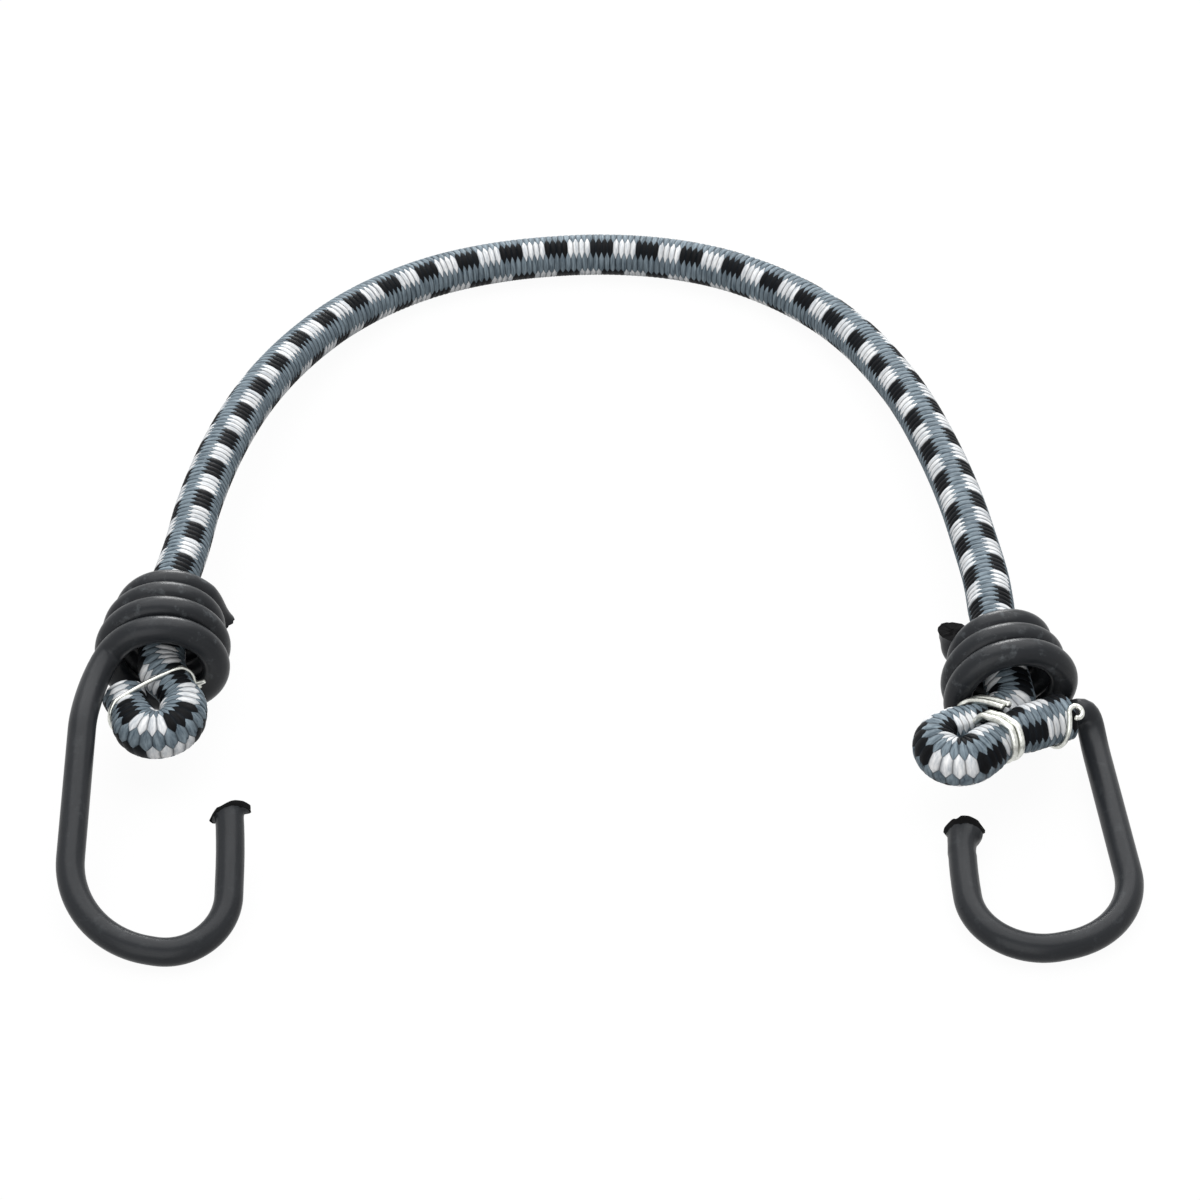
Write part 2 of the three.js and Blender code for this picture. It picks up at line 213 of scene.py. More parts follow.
@dataclass(frozen=True)
class BraidFinish(Finish):
    """Braided polyester filament yarn: a soft sheen on each pick, partly painted into the colour of its
    filaments, painted glints on the black yarn, and painted shade between the picks.
    """

    name: str = "braided_polyester_filament"
    # darker and lighter filaments of each yarn; the lighter ones are partly their own tone, partly painted
    # sheen
    ground: str = "4a5761"
    ground_tone_and_sheen: str = "919fa8"
    white: str = "fbfbfb"
    white_dull: str = "b9bfc5"
    black: str = "060607"
    # painted glint on some filaments of the black yarn
    black_painted_glint: str = "131417"
    # painted shade in the grooves between the picks; the dull patches lean to the same colour
    groove_shade: str = "10171d"
    groove_shade_share: float = 0.86  # of the painted groove shade at the edge of a pick
    groove_power: float = 5.0  # how narrow the groove and its painted shade are
    filaments_per_pick: float = 3.0  # real ones are 0.05 mm; these are coarse enough to show
    filament_ends: float = 1.6  # how often a filament dives under round the cord
    patch_scale: float = 0.16  # dull patches of two or three picks
    least_width: float = 0.02  # of a tooth or of the ground beside it, as a share of a pick
    streak_spread: Row = (2.6, -0.8)  # factor and offset that spread the filaments' noise from 0 to 1
    painted_glint_power: float = 2.0  # how few filaments of black yarn get a painted glint
    dull_below: float = 0.62  # patch noise below which the yarn is dull
    dull_share: float = 0.8
    roughness: float = 0.62
    gloss: float = -0.18  # what a bright filament adds to the roughness
    specular: float = 0.07  # most of the light sinks in between the filaments
    sheen: float = 0.01
    sheen_roughness: float = 0.4
    filament_relief: float = 0.5  # against 1 for the grooves
    bump_share: float = 0.55
    bump_depth: float = 0.12 * MM

    def sockets(self, add: Adder) -> dict[str, object]:
        """Colours, gloss and bumps, laid by the attribute that every cord's mesh carries.

        Args:
            add: Adds a node to the material.

        Returns:
            What each socket gets.
        """
        lay = add("Attribute", attribute_name=LAY).outputs["Vector"]
        across, up, picks = add("SeparateXYZ", (lay,)).outputs
        width = TURN / ROWS
        angle = add("Math", (up, across), operation="ARCTAN2")
        row = add("Math", (angle, width), operation="DIVIDE")
        row = add("Math", (row,), operation="ROUND")
        off_row = add("Math", (row, width), operation="MULTIPLY")
        off_row = add("Math", (angle, off_row), operation="SUBTRACT")
        off_row = add("Math", (off_row,), operation="ABSOLUTE")
        along = add("Math", (row, ROW_STAGGER, picks), operation="MULTIPLY_ADD")
        off_pick = add("Math", (along,), operation="FRACT")
        off_pick = add("Math", (off_pick, 0.5), operation="SUBTRACT")
        off_pick = add("Math", (off_pick,), operation="ABSOLUTE")
        off_pick = add("Math", (off_pick, 2.0), operation="MULTIPLY")

        # Teeth of the checks, and how near a point is to the edge of a tooth or of the ground beside it.
        cover = add("Math", (TOOTH_HALF_ROW, off_row), operation="SUBTRACT")
        cover = add("Math", (cover, TOOTH_HALF_ROW - FULL_HALF_ROW), operation="DIVIDE", use_clamp=True)
        is_check = add("Math", (off_pick, cover), operation="LESS_THAN")
        tooth = add("Math", (cover, self.least_width), operation="MAXIMUM")
        check_edge = add("Math", (off_pick, tooth), operation="DIVIDE")
        check_edge = add("Math", (is_check, check_edge), operation="MULTIPLY")
        bare = add("Math", (1.0, cover), operation="SUBTRACT")
        bare = add("Math", (bare, self.least_width), operation="MAXIMUM")
        ground_edge = add("Math", (1.0, off_pick), operation="SUBTRACT")
        ground_edge = add("Math", (ground_edge, bare), operation="DIVIDE")
        is_ground = add("Math", (1.0, is_check), operation="SUBTRACT")
        edge = add("Math", (is_ground, ground_edge, check_edge), operation="MULTIPLY_ADD", use_clamp=True)
        groove_shade = add("Math", (edge, self.groove_power), operation="POWER")
        in_block = add("Math", (along,), operation="FLOOR")
        in_block = add("Math", (in_block, float(PICKS_PER_CHECK)), operation="FLOORED_MODULO")
        is_white = add("Math", (in_block, PICKS_PER_CHECK / 2 - 0.5), operation="GREATER_THAN")

        # Filaments run round the cord along each pick.
        scale = (self.filament_ends, self.filament_ends, self.filaments_per_pick)
        run = add("VectorMath", (lay, scale), operation="MULTIPLY")
        filament = add("TexNoise", {**NOISE, "Vector": run, "Scale": 1.0, "Detail": 3.0})
        patch = add("TexNoise", {**NOISE, "Vector": run, "Scale": self.patch_scale, "Detail": 2.0})
        streak = add("Math", (filament, *self.streak_spread), operation="MULTIPLY_ADD", use_clamp=True)
        painted_glint = add("Math", (streak, self.painted_glint_power), operation="POWER")
        dull = add("Math", (self.dull_below, patch), operation="SUBTRACT", use_clamp=True)
        dull = add("Math", (dull, self.dull_share), operation="MULTIPLY")
        # painted shade, darkest at the edges of the picks where the grooves are
        sunk = add("Math", (groove_shade, self.groove_shade_share), operation="MULTIPLY")

        # filaments lighter and darker along each pick: partly the yarn's tone, partly painted sheen
        ground = add("Mix", {0: streak, 6: self.ground, 7: self.ground_tone_and_sheen}, **TWO_COLOURS).outputs[2]
        white = add("Mix", {0: streak, 6: self.white_dull, 7: self.white}, **TWO_COLOURS).outputs[2]
        # painted glints: some black filaments are painted lighter
        black = add("Mix", {0: painted_glint, 6: self.black, 7: self.black_painted_glint}, **TWO_COLOURS).outputs[2]
        check = add("Mix", {0: is_white, 6: black, 7: white}, **TWO_COLOURS).outputs[2]
        yarn = add("Mix", {0: is_check, 6: ground, 7: check}, **TWO_COLOURS).outputs[2]
        # dull patches lean to the same dark colour as the painted groove shade
        yarn = add("Mix", {0: dull, 6: yarn, 7: self.groove_shade}, **TWO_COLOURS).outputs[2]
        # the bump sinks the grooves along the same mask that paints their shade
        height = add("Math", (filament, self.filament_relief), operation="MULTIPLY")
        height = add("Math", (groove_shade, -1.0, height), operation="MULTIPLY_ADD")
        return {
            "Base Color": add("Mix", {0: sunk, 6: yarn, 7: self.groove_shade}, **TWO_COLOURS).outputs[2],
            "Roughness": add("Math", (streak, self.gloss, self.roughness), operation="MULTIPLY_ADD"),
            "Specular IOR Level": self.specular,
            "Sheen Weight": self.sheen,
            "Sheen Roughness": self.sheen_roughness,
            "Normal": add("Bump", {**self.bump, "Height": height}),
        }


@dataclass(frozen=True)
class CoatingFinish(Finish):
    """PVC dipped and cured on the wire: satin dark grey, rubbed paler where it was handled, and painted near
    black as painted shade where it is torn.
    """

    name: str = "dipped_pvc_satin"
    body: str = "282a2d"
    mottled: str = "222427"
    rubbed: str = "505457"
    # painted shade: the torn lip and the cut end are painted near black
    torn: str = "050506"
    run_scale: Point = (2.2, 2.2, 0.16)  # mottles 6 mm long, as the dip ran off the wire
    scuffs: float = 420.0  # per metre: rubbed spots of 2 to 3 mm
    pores: float = 1900.0  # per metre, of the cured skin
    mottle_spread: Row = (3.0, -1.0)  # factor and offset that spread the noise from 0 to 1
    scuff_spread: Row = (5.0, -2.8)  # the same; only its peaks are rubbed
    torn_shade_below: float = -0.5  # wear below which the coating is torn and painted near black as painted shade
    roughness: float = 0.24
    pore_roughness: float = 0.16  # what the pores add
    rub_roughness: float = 0.2  # what rubbing adds
    specular: float = 0.16
    mottle_relief: float = 0.8  # against 1 for the pores
    bump_share: float = 0.3
    bump_depth: float = 0.05 * MM

    def sockets(self, add: Adder) -> dict[str, object]:
        """Colours, gloss and bumps, with the rubbed places that the hook's mesh marks, and the torn ones
        painted near black as painted shade.

        Args:
            add: Adds a node to the material.

        Returns:
            What each socket gets.
        """
        place = add("TexCoord").outputs["Object"]
        wear = add("Attribute", attribute_name=WEAR).outputs["Fac"]
        wire = add("Attribute", attribute_name=LAY).outputs["Vector"]
        drawn = add("Mapping", {"Vector": wire, "Scale": self.run_scale})
        streak = add("TexNoise", {**NOISE, "Vector": drawn, "Scale": 1.0, "Detail": 5.0})
        scuff = add("TexNoise", {**NOISE, "Vector": place, "Scale": self.scuffs, "Detail": 5.0})
        pore = add("TexNoise", {**NOISE, "Vector": place, "Scale": self.pores, "Detail": 3.0})
        patches = add("Math", (streak, *self.mottle_spread), operation="MULTIPLY_ADD", use_clamp=True)
        body = add("Mix", {0: patches, 6: self.body, 7: self.mottled}, **TWO_COLOURS).outputs[2]
        rub = add("Math", (scuff, *self.scuff_spread), operation="MULTIPLY_ADD", use_clamp=True)
        rub = add("Math", (wear, rub), operation="MULTIPLY", use_clamp=True)
        body = add("Mix", {0: rub, 6: body, 7: self.rubbed}, **TWO_COLOURS).outputs[2]
        # painted shade: torn places are painted near black
        is_torn_shade = add("Math", (wear, self.torn_shade_below), operation="LESS_THAN")
        rough = add("Math", (pore, self.pore_roughness, self.roughness), operation="MULTIPLY_ADD")
        rough = add("Math", (rough, is_torn_shade), operation="MAXIMUM")
        height = add("Math", (streak, self.mottle_relief, pore), operation="MULTIPLY_ADD")
        return {
            "Base Color": add("Mix", {0: is_torn_shade, 6: body, 7: self.torn}, **TWO_COLOURS).outputs[2],
            "Roughness": add("Math", (rub, self.rub_roughness, rough), operation="MULTIPLY_ADD"),
            "Specular IOR Level": self.specular,
            "Normal": add("Bump", {**self.bump, "Height": height}),
        }


@dataclass(frozen=True)
class MetalFinish(Finish):
    """Steel wire, drawn and sheared or zinc plated: a bright metal with a fine, uneven grain."""

    name: str
    light: str
    dark: str
    roughness: float
    grain: float  # marks per metre
    grain_spread: Row = (2.4, -0.7)  # factor and offset that spread the noise from 0 to 1
    grain_roughness: float = 0.25  # what the grain adds
    bump_share: float = 0.25
    bump_depth: float = 0.02 * MM

    def sockets(self, add: Adder) -> dict[str, object]:
        """Colours, gloss and bumps.

        Args:
            add: Adds a node to the material.

        Returns:
            What each socket gets.
        """
        place = add("TexCoord").outputs["Object"]
        grain = add("TexNoise", {**NOISE, "Vector": place, "Scale": self.grain})
        share = add("Math", (grain, *self.grain_spread), operation="MULTIPLY_ADD", use_clamp=True)
        return {
            "Base Color": add("Mix", {0: share, 6: self.dark, 7: self.light}, **TWO_COLOURS).outputs[2],
            "Metallic": 1.0,
            "Roughness": add("Math", (grain, self.grain_roughness, self.roughness), operation="MULTIPLY_ADD"),
            "Normal": add("Bump", {**self.bump, "Height": grain}),
        }


@dataclass(frozen=True)
class RubberFinish(Finish):
    """Cut natural rubber thread: matt, pale tan, dusted with talc."""

    name: str = "cut_natural_rubber"
    body: str = "c9b689"
    dusted: str = "e2d8bd"
    specks: float = 900.0  # of talc, per metre
    roughness: float = 0.65
    talc_roughness: float = 0.2  # what the talc adds
    bump_share: float = 0.2
    bump_depth: float = 0.04 * MM

    def sockets(self, add: Adder) -> dict[str, object]:
        """Colours, gloss and bumps.

        Args:
            add: Adds a node to the material.

        Returns:
            What each socket gets.
        """
        place = add("TexCoord").outputs["Object"]
        dust = add("TexNoise", {**NOISE, "Vector": place, "Scale": self.specks})
        return {
            "Base Color": add("Mix", {0: dust, 6: self.body, 7: self.dusted}, **TWO_COLOURS).outputs[2],
            "Roughness": add("Math", (dust, self.talc_roughness, self.roughness), operation="MULTIPLY_ADD"),
            "Normal": add("Bump", {**self.bump, "Height": dust}),
        }


def frame_at(place: Vector, across: Vector, along: Vector) -> Matrix:
    """Frame at a place, its x across and its z along, which are unit vectors."""
    third = along.cross(across)
    return Matrix([[across[k], third[k], along[k], place[k]] for k in range(3)] + [[0.0, 0.0, 0.0, 1.0]])


@dataclass
class Route:
    """A line through space, known by its places."""

    places: list[Vector]

    def __post_init__(self) -> None:
        """Measures the line."""
        self.reach = [0.0]
        for before, after in zip(self.places, self.places[1:]):
            self.reach.append(self.reach[-1] + (after - before).length)

    @property
    def length(self) -> float:
        """Length of the whole line."""
        return self.reach[-1]

    @classmethod
    def through(cls, points: Sequence[Vector], spacing: float) -> "Route":
        """A smooth line through points, with places at an even spacing.

        Args:
            points: Points that the line passes through.
            spacing: Distance between its places.

        Returns:
            The line.
        """
        times = [0.0]
        for before, after in zip(points, points[1:]):
            times.append(times[-1] + math.sqrt((after - before).length))
        slopes = [(points[1] - points[0]) / (times[1] - times[0])]
        for i in range(1, len(points) - 1):
            early, late = times[i] - times[i - 1], times[i + 1] - times[i]
            first, second = (points[i] - points[i - 1]) / early, (points[i + 1] - points[i]) / late
            slopes.append((first * late + second * early) / (early + late))
        slopes.append((points[-1] - points[-2]) / (times[-1] - times[-2]))
        dense = [points[0]]
        for i in range(len(points) - 1):
            width = times[i + 1] - times[i]
            for t in (k / CURVE_STEPS for k in range(1, CURVE_STEPS + 1)):
                place = points[i].lerp(points[i + 1], t * t * (3.0 - 2.0 * t))
                place += slopes[i] * width * (t**3 - 2.0 * t**2 + t)
                dense.append(place + slopes[i + 1] * width * (t**3 - t**2))
        return cls(dense).spaced(spacing)

    @classmethod
    def rounded(cls, corners: Sequence[Vector], bends: Sequence[float], spacing: float) -> "Route":
        """Straight runs between corners that are rounded.

        Args:
            corners: The corners, from the start to the end of the line.
            bends: Radius of each corner but the first and last.
            spacing: Distance between the line's places.

        Returns:
            The line.
        """
        places = [corners[0]]
        for before, corner, after, bend in zip(corners, corners[1:], corners[2:], bends):
            back, on = (before - corner).normalized(), (after - corner).normalized()
            turn = math.pi - back.angle(on)
            start = corner + back * bend * math.tan(turn / 2.0)
            middle = corner + (back + on).normalized() * bend / math.cos(turn / 2.0)
            for angle in (turn * step / CURVE_STEPS for step in range(CURVE_STEPS + 1)):
                place = middle + (start - middle) * math.cos(angle)
                places.append(place - back * bend * math.sin(angle))
        places.append(corners[-1])
        return cls(places).spaced(spacing)

    def spaced(self, spacing: float) -> "Route":
        """The same line with places at an even spacing, which is at most the one given."""
        count = max(2, math.ceil(self.length / spacing))
        return Route([self.at(self.length * k / count) for k in range(count + 1)])

    def at(self, distance: float) -> Vector:
        """Place at a distance along the line.

        Args:
            distance: From its start.

        Returns:
            The place.
        """
        high = min(max(bisect.bisect_left(self.reach, distance), 1), len(self.reach) - 1)
        span = self.reach[high] - self.reach[high - 1]
        share = (distance - self.reach[high - 1]) / span if span else 0.0
        return self.places[high - 1].lerp(self.places[high], share)

    def heading(self, index: int) -> Vector:
        """Direction of the line at one of its places, by the number of the place."""
        before, after = max(index - 1, 0), min(index + 1, len(self.places) - 1)
        return (self.places[after] - self.places[before]).normalized()

    def upright_frames(self) -> list[Matrix]:
        """Frames whose x points up and whose z runs along the line.

        Returns:
            One matrix for each place.
        """
        frames = []
        for index, place in enumerate(self.places):
            along = self.heading(index)
            frames.append(frame_at(place, (UP - along * UP.dot(along)).normalized(), along))
        return frames

    def carried_frames(self, start: Vector) -> list[Matrix]:
        """Frames that turn no more than the line does.

        Args:
            start: Direction of x at the start.

        Returns:
            One matrix for each place.
        """
        frames, across = [], start
        for index, place in enumerate(self.places):
            along = self.heading(index)
            across = (across - along * across.dot(along)).normalized()
            frames.append(frame_at(place, across, along))
        return frames


def between(table: Sequence[Row], key: float, smooth: bool = True) -> float:
    """Value in a table of (key, value).

    Args:
        table: Rows in order of their keys.
        key: Where to read it.
        smooth: Whether it eases from row to row and keeps its end values, or runs straight on.

    Returns:
        The value.
    """
    if smooth and not table[0][0] < key < table[-1][0]:
        return table[0][1] if key <= table[0][0] else table[-1][1]
    index = min(max(bisect.bisect_left([row[0] for row in table], key), 1), len(table) - 1)
    (before, first), (after, second) = table[index - 1], table[index]
    share = (key - before) / (after - before)
    return first + (second - first) * (share * share * (3.0 - 2.0 * share) if smooth else share)


def ring_skin(
    frames: Sequence[Matrix],
    sides: int,
    corner: Callable[[int, float], Point],
    closed: bool = False,
    marks: dict[str, Callable[[int, float], Vector | float]] | None = None,
) -> bmesh.types.BMesh:
    """Closed skin over a row of rings, from a grid that is rolled up.

    Args:
        frames: A frame for each ring.
        sides: Corners of a ring.
        corner: Place in the ring's frame of a corner, from its ring's number and its angle.
        closed: Whether the last ring joins the first, as in a tube with a bore; else the ends are capped.
        marks: What each named layer holds at a corner.

    Returns:
        The mesh.
    """
    shape = bmesh.new()
    rows = len(frames) - (0 if closed else 1)
    bmesh.ops.create_grid(shape, x_segments=sides, y_segments=rows, size=1.0)
    kinds = {LAY: shape.verts.layers.float_vector, WEAR: shape.verts.layers.float}
    for name in marks or {}:
        kinds[name].new(name)
    layers = {kinds[name][name]: value for name, value in (marks or {}).items()}
    for vert in shape.verts:
        angle = TURN * (round((vert.co.x + 1.0) / 2.0 * sides) % sides) / sides
        ring = round((vert.co.y + 1.0) / 2.0 * rows) % len(frames)
        for layer, value in layers.items():
            vert[layer] = value(ring, angle)
        vert.co = frames[ring] @ Vector(corner(ring, angle))
    bmesh.ops.remove_doubles(shape, verts=shape.verts, dist=1e-7)
    rims = [edge for edge in shape.edges if edge.is_boundary]
    if rims:
        bmesh.ops.holes_fill(shape, edges=rims, sides=0)
    bmesh.ops.recalc_face_normals(shape, faces=shape.faces)
    return shape


def round_wire(frames: Sequence[Matrix], radius: float, sides: int) -> bmesh.types.BMesh:
    """Skin of a round wire, its ends a little rounded over.

    Args:
        frames: A frame for each section.
        radius: Of the wire.
        sides: Corners of a section.

    Returns:
        The mesh.
    """
    first, last, soft = frames[0], frames[-1], WIRE_ROUNDING * radius
    every = [first, first @ Matrix.Translation((0.0, 0.0, soft)), *frames[1:-1]]
    every += [last @ Matrix.Translation((0.0, 0.0, -soft)), last]

    def corner(ring: int, angle: float) -> Point:
        """Place of a corner, nearer the middle in the two end rings."""
        return polar(angle, radius * (WIRE_FACE if ring in (0, len(every) - 1) else 1.0))

    return ring_skin(every, sides, corner)


def new_object(name: str, data: bpy.types.ID) -> bpy.types.Object:
    """Adds an object to the scene.

    Args:
        name: Its name.
        data: Its mesh, lamp or camera.

    Returns:
        The object.
    """
    thing = bpy.data.objects.new(name, data)
    bpy.context.scene.collection.objects.link(thing)
    return thing


def make_piece(
    shape: bmesh.types.BMesh, name: str, material: bpy.types.Material
) -> bpy.types.Object:
    """Turns a mesh into a shown piece.

    Args:
        shape: The mesh, which is used up.
        name: Name of the piece.
        material: Its finish.

    Returns:
        The piece.
    """
    for face in shape.faces:
        face.smooth = True
    for edge in shape.edges:
        edge.smooth = edge.calc_face_angle(0.0) < SHARP_BEND
    mesh = bpy.data.meshes.new(name)
    shape.to_mesh(mesh)
    shape.free()
    mesh.materials.append(material)
    piece = new_object(name, mesh)
    log.info("%s: %d faces", name, len(mesh.polygons))
    return piece


def joined(shapes: Sequence[bmesh.types.BMesh]) -> bmesh.types.BMesh:
    """One mesh of several closed ones.

    Args:
        shapes: The meshes, which are used up.

    Returns:
        The mesh.
    """
    whole = bmesh.new()
    for shape in shapes:
        part = bpy.data.meshes.new("part")
        shape.to_mesh(part)
        shape.free()
        whole.from_mesh(part)
        bpy.data.meshes.remove(part)
    return whole


def pick_edge(angle: float, picks: float) -> float:
    """How near a point of the braid is to the edge of its pick.

    Args:
        angle: From the middle of a row of checks.
        picks: Picks along the cord.

    Returns:
        0 in the middle of the pick, 1 at its edge.
    """
    row = round(angle / (TURN / ROWS))
    off_row = abs(angle - row * TURN / ROWS)
    cover = min(max((TOOTH_HALF_ROW - off_row) / (TOOTH_HALF_ROW - FULL_HALF_ROW), 0.0), 1.0)
    off_pick = abs((picks + row * ROW_STAGGER) % 1.0 - 0.5) * 2.0
    return off_pick / cover if off_pick < cover else (1.0 - off_pick) / max(1.0 - cover, 1e-6)


@dataclass
class ElasticCord:
    """A length of the cord: a braided sheath with its picks in relief, and rubber threads in it."""

    route: Route
    picks: Sequence[Row]  # distance along, and pick count there
    row_angle: Sequence[Row]  # distance along, and degrees from the top to a row of checks
    girth: Sequence[Row]  # distance along, and share of the full radius
    row_gather: Sequence[Row] = ((0.0, 0.0), (1.0, 0.0))  # distance along, and degrees the rows are narrowed
    row_crowd: Sequence[Row] = ((0.0, 0.0), (1.0, 0.0))  # and degrees they are pushed round to the far side
    hand: float = 1.0  # below zero where the route runs against the count of the picks
    open_end: bool = False  # whether it ends in a cut
    sides: int = 64
    bore_ring_step: int = 20  # rings of the outside to one of the bore
    relief: float = 0.2 * MM
    relief_power: int = 3  # how narrow the grooves between picks are
    thread_radius: float = 0.54 * MM
    thread_pitch: float = 1.11 * MM
    thread_layers: int = 2  # round the middle thread
    thread_sides: int = 8
    thread_step: float = 2.0 * MM
    thread_out: float = 0.1 * MM  # how far the cut threads stand out of the sheath
    thread_uneven: float = 0.3 * MM  # how far a thread may be from that

    def sheath(self) -> bmesh.types.BMesh:
        """The braided tube: its outside, and back through its bore.

        Returns:
            The mesh.
        """
        frames, reach = self.route.upright_frames(), self.route.reach
        turned = [math.radians(between(self.row_angle, r)) for r in reach]
        picks = [between(self.picks, r, smooth=False) for r in reach]
        gather, crowd = (
            [math.radians(between(table, r)) for r in reach] for table in (self.row_gather, self.row_crowd)
        )
        radii = [CORD_RADIUS * between(self.girth, r) for r in reach]
        inner = [*range(len(frames) - 1, 0, -self.bore_ring_step), 0]
        order = [*range(len(frames)), *inner]

        def off_row(ring: int, angle: float) -> float:
            """Angle of a corner from the first row of checks, in the braid's own measure."""
            off = self.hand * ((angle - turned[ring] + math.pi) % TURN - math.pi)
            return off + gather[ring] * math.sin(ROWS * off) - crowd[ring] * math.sin(off)

        def corner(ring: int, angle: float) -> Point:
            """Place of a corner, sunk where it is near the edge of a pick, or in the bore.

            Args:
                ring: Number of its ring.
                angle: Round the ring.

            Returns:
                The place in the ring's frame.
            """
            place = order[ring]
            if ring >= len(frames):
                radius = radii[place] - SHEATH_WALL
            else:
                edge = pick_edge(off_row(place, angle), picks[place])
                radius = radii[place] - self.relief * edge**self.relief_power
            return polar(angle, radius)

        def mark(ring: int, angle: float) -> Vector:
            """What the material needs to know at a corner."""
            return Vector(polar(off_row(order[ring], angle), height=picks[order[ring]]))

        every = [frames[place] for place in order]
        return ring_skin(every, self.sides, corner, closed=True, marks={LAY: mark})

    def threads(self) -> bmesh.types.BMesh:
        """The rubber threads, packed in hexagons, cut a little unevenly at an open end.

        Returns:
            The mesh.
        """
        frames = self.route.spaced(self.thread_step).upright_frames()
        centres = [Vector((0.0, 0.0, 0.0))]
        for layer in range(1, self.thread_layers + 1):
            for side in range(6):
                start, end = (
                    Vector(polar(turn * TURN / 6)) * self.thread_pitch * layer for turn in (side, side + 1)
                )
                centres += [start.lerp(end, step / layer) for step in range(layer)]
        shapes = []
        for number, centre in enumerate(centres):
            moved = [each @ Matrix.Translation(centre) for each in frames]
            if self.open_end:
                out = self.thread_uneven * math.sin(number * GOLDEN_ANGLE) + self.thread_out
                moved[-1] = moved[-1] @ Matrix.Translation((0.0, 0.0, out))
            shapes.append(round_wire(moved, self.thread_radius, self.thread_sides))
        return joined(shapes)


@dataclass
class SlackCord:
    """The free cord between the two coils, stretched by the pull."""

    points: Sequence[Point]  # millimetres, from the left coil to the right one
    picks: Sequence[Row]  # as in ElasticCord, but in millimetres, as are the next three
    row_angle: Sequence[Row]
    row_gather: Sequence[Row]
    row_crowd: Sequence[Row]
    in_coil: float = 6.0 * MM  # how far it runs on inside each coil
    necks: Sequence[Row] = ((6.0, 0.96), (10.0, 1.0))  # millimetres from each end, and share of the girth
    path_steps: int = 38  # of a path that build works out and does not use

    def route(self) -> Route:
        """The cord's line with its ends inside the coils.

        Returns:
            The line.
        """
        points = [Vector(p) * MM for p in self.points]
        start = points[0] + (points[0] - points[1]).normalized() * self.in_coil
        end = points[-1] + (points[-1] - points[-2]).normalized() * self.in_coil
        return Route.through([start, *points, end], RING_STEP)

    def build(self, braid: bpy.types.Material, rubber: bpy.types.Material) -> Route:
        """Args:
            braid: Finish of the sheath.
            rubber: Finish of the threads.

        Returns:
            The cord's line.
        """
        route = self.route()
        girth = [(along * MM, share) for along, share in self.necks]
        girth += [(route.length - along * MM, share) for along, share in reversed(self.necks)]
        picks, angles, gather, crowd = (
            [(self.in_coil + along * MM, value) for along, value in table]
            for table in (self.picks, self.row_angle, self.row_gather, self.row_crowd)
        )
        cord = ElasticCord(route, picks, angles, girth, gather, crowd)
        sheath = make_piece(cord.sheath(), "slack_cord_braid", braid)
        core = make_piece(cord.threads(), "slack_cord_threads", rubber)
        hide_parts("slack_sheath")
        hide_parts(*[f"slack_strand_{k}" for k in range(1, 8)])
        start = route.places[0]
        end = Vector((route.places[-1].x, start.y, start.z))
        for piece in (sheath, core):
            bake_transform(piece, "left_end", "right_end", start=tuple(start), end=tuple(end))
        path = [tuple(route.at(route.length * k / self.path_steps)) for k in range(self.path_steps + 1)]
        return route


@dataclass
class FoldedEnd:
    """The end of the cord, folded back in front of its hook's coil."""

    side: Side
    corners: Sequence[Point]  # millimetres, from inside the coil to the cut end
    bends: Sequence[float]
    row_angle: Sequence[Row]  # as in ElasticCord, but in millimetres, as is the next one
    girth: Sequence[Row]
    pick_shift: float  # picks that the braid has slipped in the coil
    seam: tuple[Point, Point]  # a point between the two runs, and the direction from the first to the tail
    seam_free: float = 7.0 * MM  # length round the fold that isn't pressed
    seam_gap: float = 0.03 * MM  # from each run to the middle of the seam
    slip_length: float = 12.0 * MM  # length of braid in the coil over which it has slipped

    def route(self, start: Vector) -> Route:
        """The fold's line from its start, where it meets the slack cord."""
        corners = [start, *[Vector(p) * MM for p in self.corners]]
        return Route.rounded(corners, [bend * MM for bend in self.bends], RING_STEP)

    def build(
        self, start: Vector, join_pick: float, braid: bpy.types.Material, rubber: bpy.types.Material
    ) -> None:
        """Makes the folded sheath and the threads in it.

        Args:
            start: Where it meets the slack cord.
            join_pick: Pick count there.
            braid: Finish of the sheath.
            rubber: Finish of the threads.
        """
        route = self.route(start)
        way = -1.0 if self.side is Side.LEFT else 1.0
        slips = ((0.0, 0.0), (self.slip_length, self.pick_shift), (route.length, self.pick_shift))
        picks = [(along, join_pick + way * along / PICK + slip) for along, slip in slips]
        angles = [(along * MM, angle) for along, angle in self.row_angle]
        girth = [(along * MM, share) for along, share in self.girth]
        cord = ElasticCord(route, picks, angles, girth, hand=way, open_end=True)
        shape = cord.sheath()
        self.press(shape, join_pick + self.pick_shift, way, route)
        word = self.side.word
        sheath = make_piece(shape, f"{word}_fold_braid", braid)
        core = make_piece(cord.threads(), f"{word}_fold_threads", rubber)
        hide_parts(f"{word}_fold_sheath")
        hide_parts(*[f"{word}_fold_strand_{k}" for k in range(1, 8)])
        for piece in (sheath, core):
            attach(piece, f"{word}_end")

    def press(self, shape: bmesh.types.BMesh, join_pick: float, way: float, route: Route) -> None:
        """Flattens the two runs against each other where they touch.

        Args:
            shape: The sheath.
            join_pick: Pick count at its start.
            way: 1 where picks count up along it, else -1.
            route: Its line.
        """
        place, across = Vector(self.seam[0]) * MM, Vector(self.seam[1]).normalized()
        offs = [(p - place).dot(across) for p in route.places]
        turn = route.reach[max(k for k, off in enumerate(offs) if off < 0.0)]
        layer = shape.verts.layers.float_vector[LAY]
        for vert in shape.verts:
            along = (vert[layer].z - join_pick) * way * PICK
            if abs(along - turn) < self.seam_free / 2.0:
                continue
            facing = across if along > turn else -across
            off = (vert.co - place).dot(facing)
            if off < self.seam_gap:
                vert.co += facing * (self.seam_gap - off)


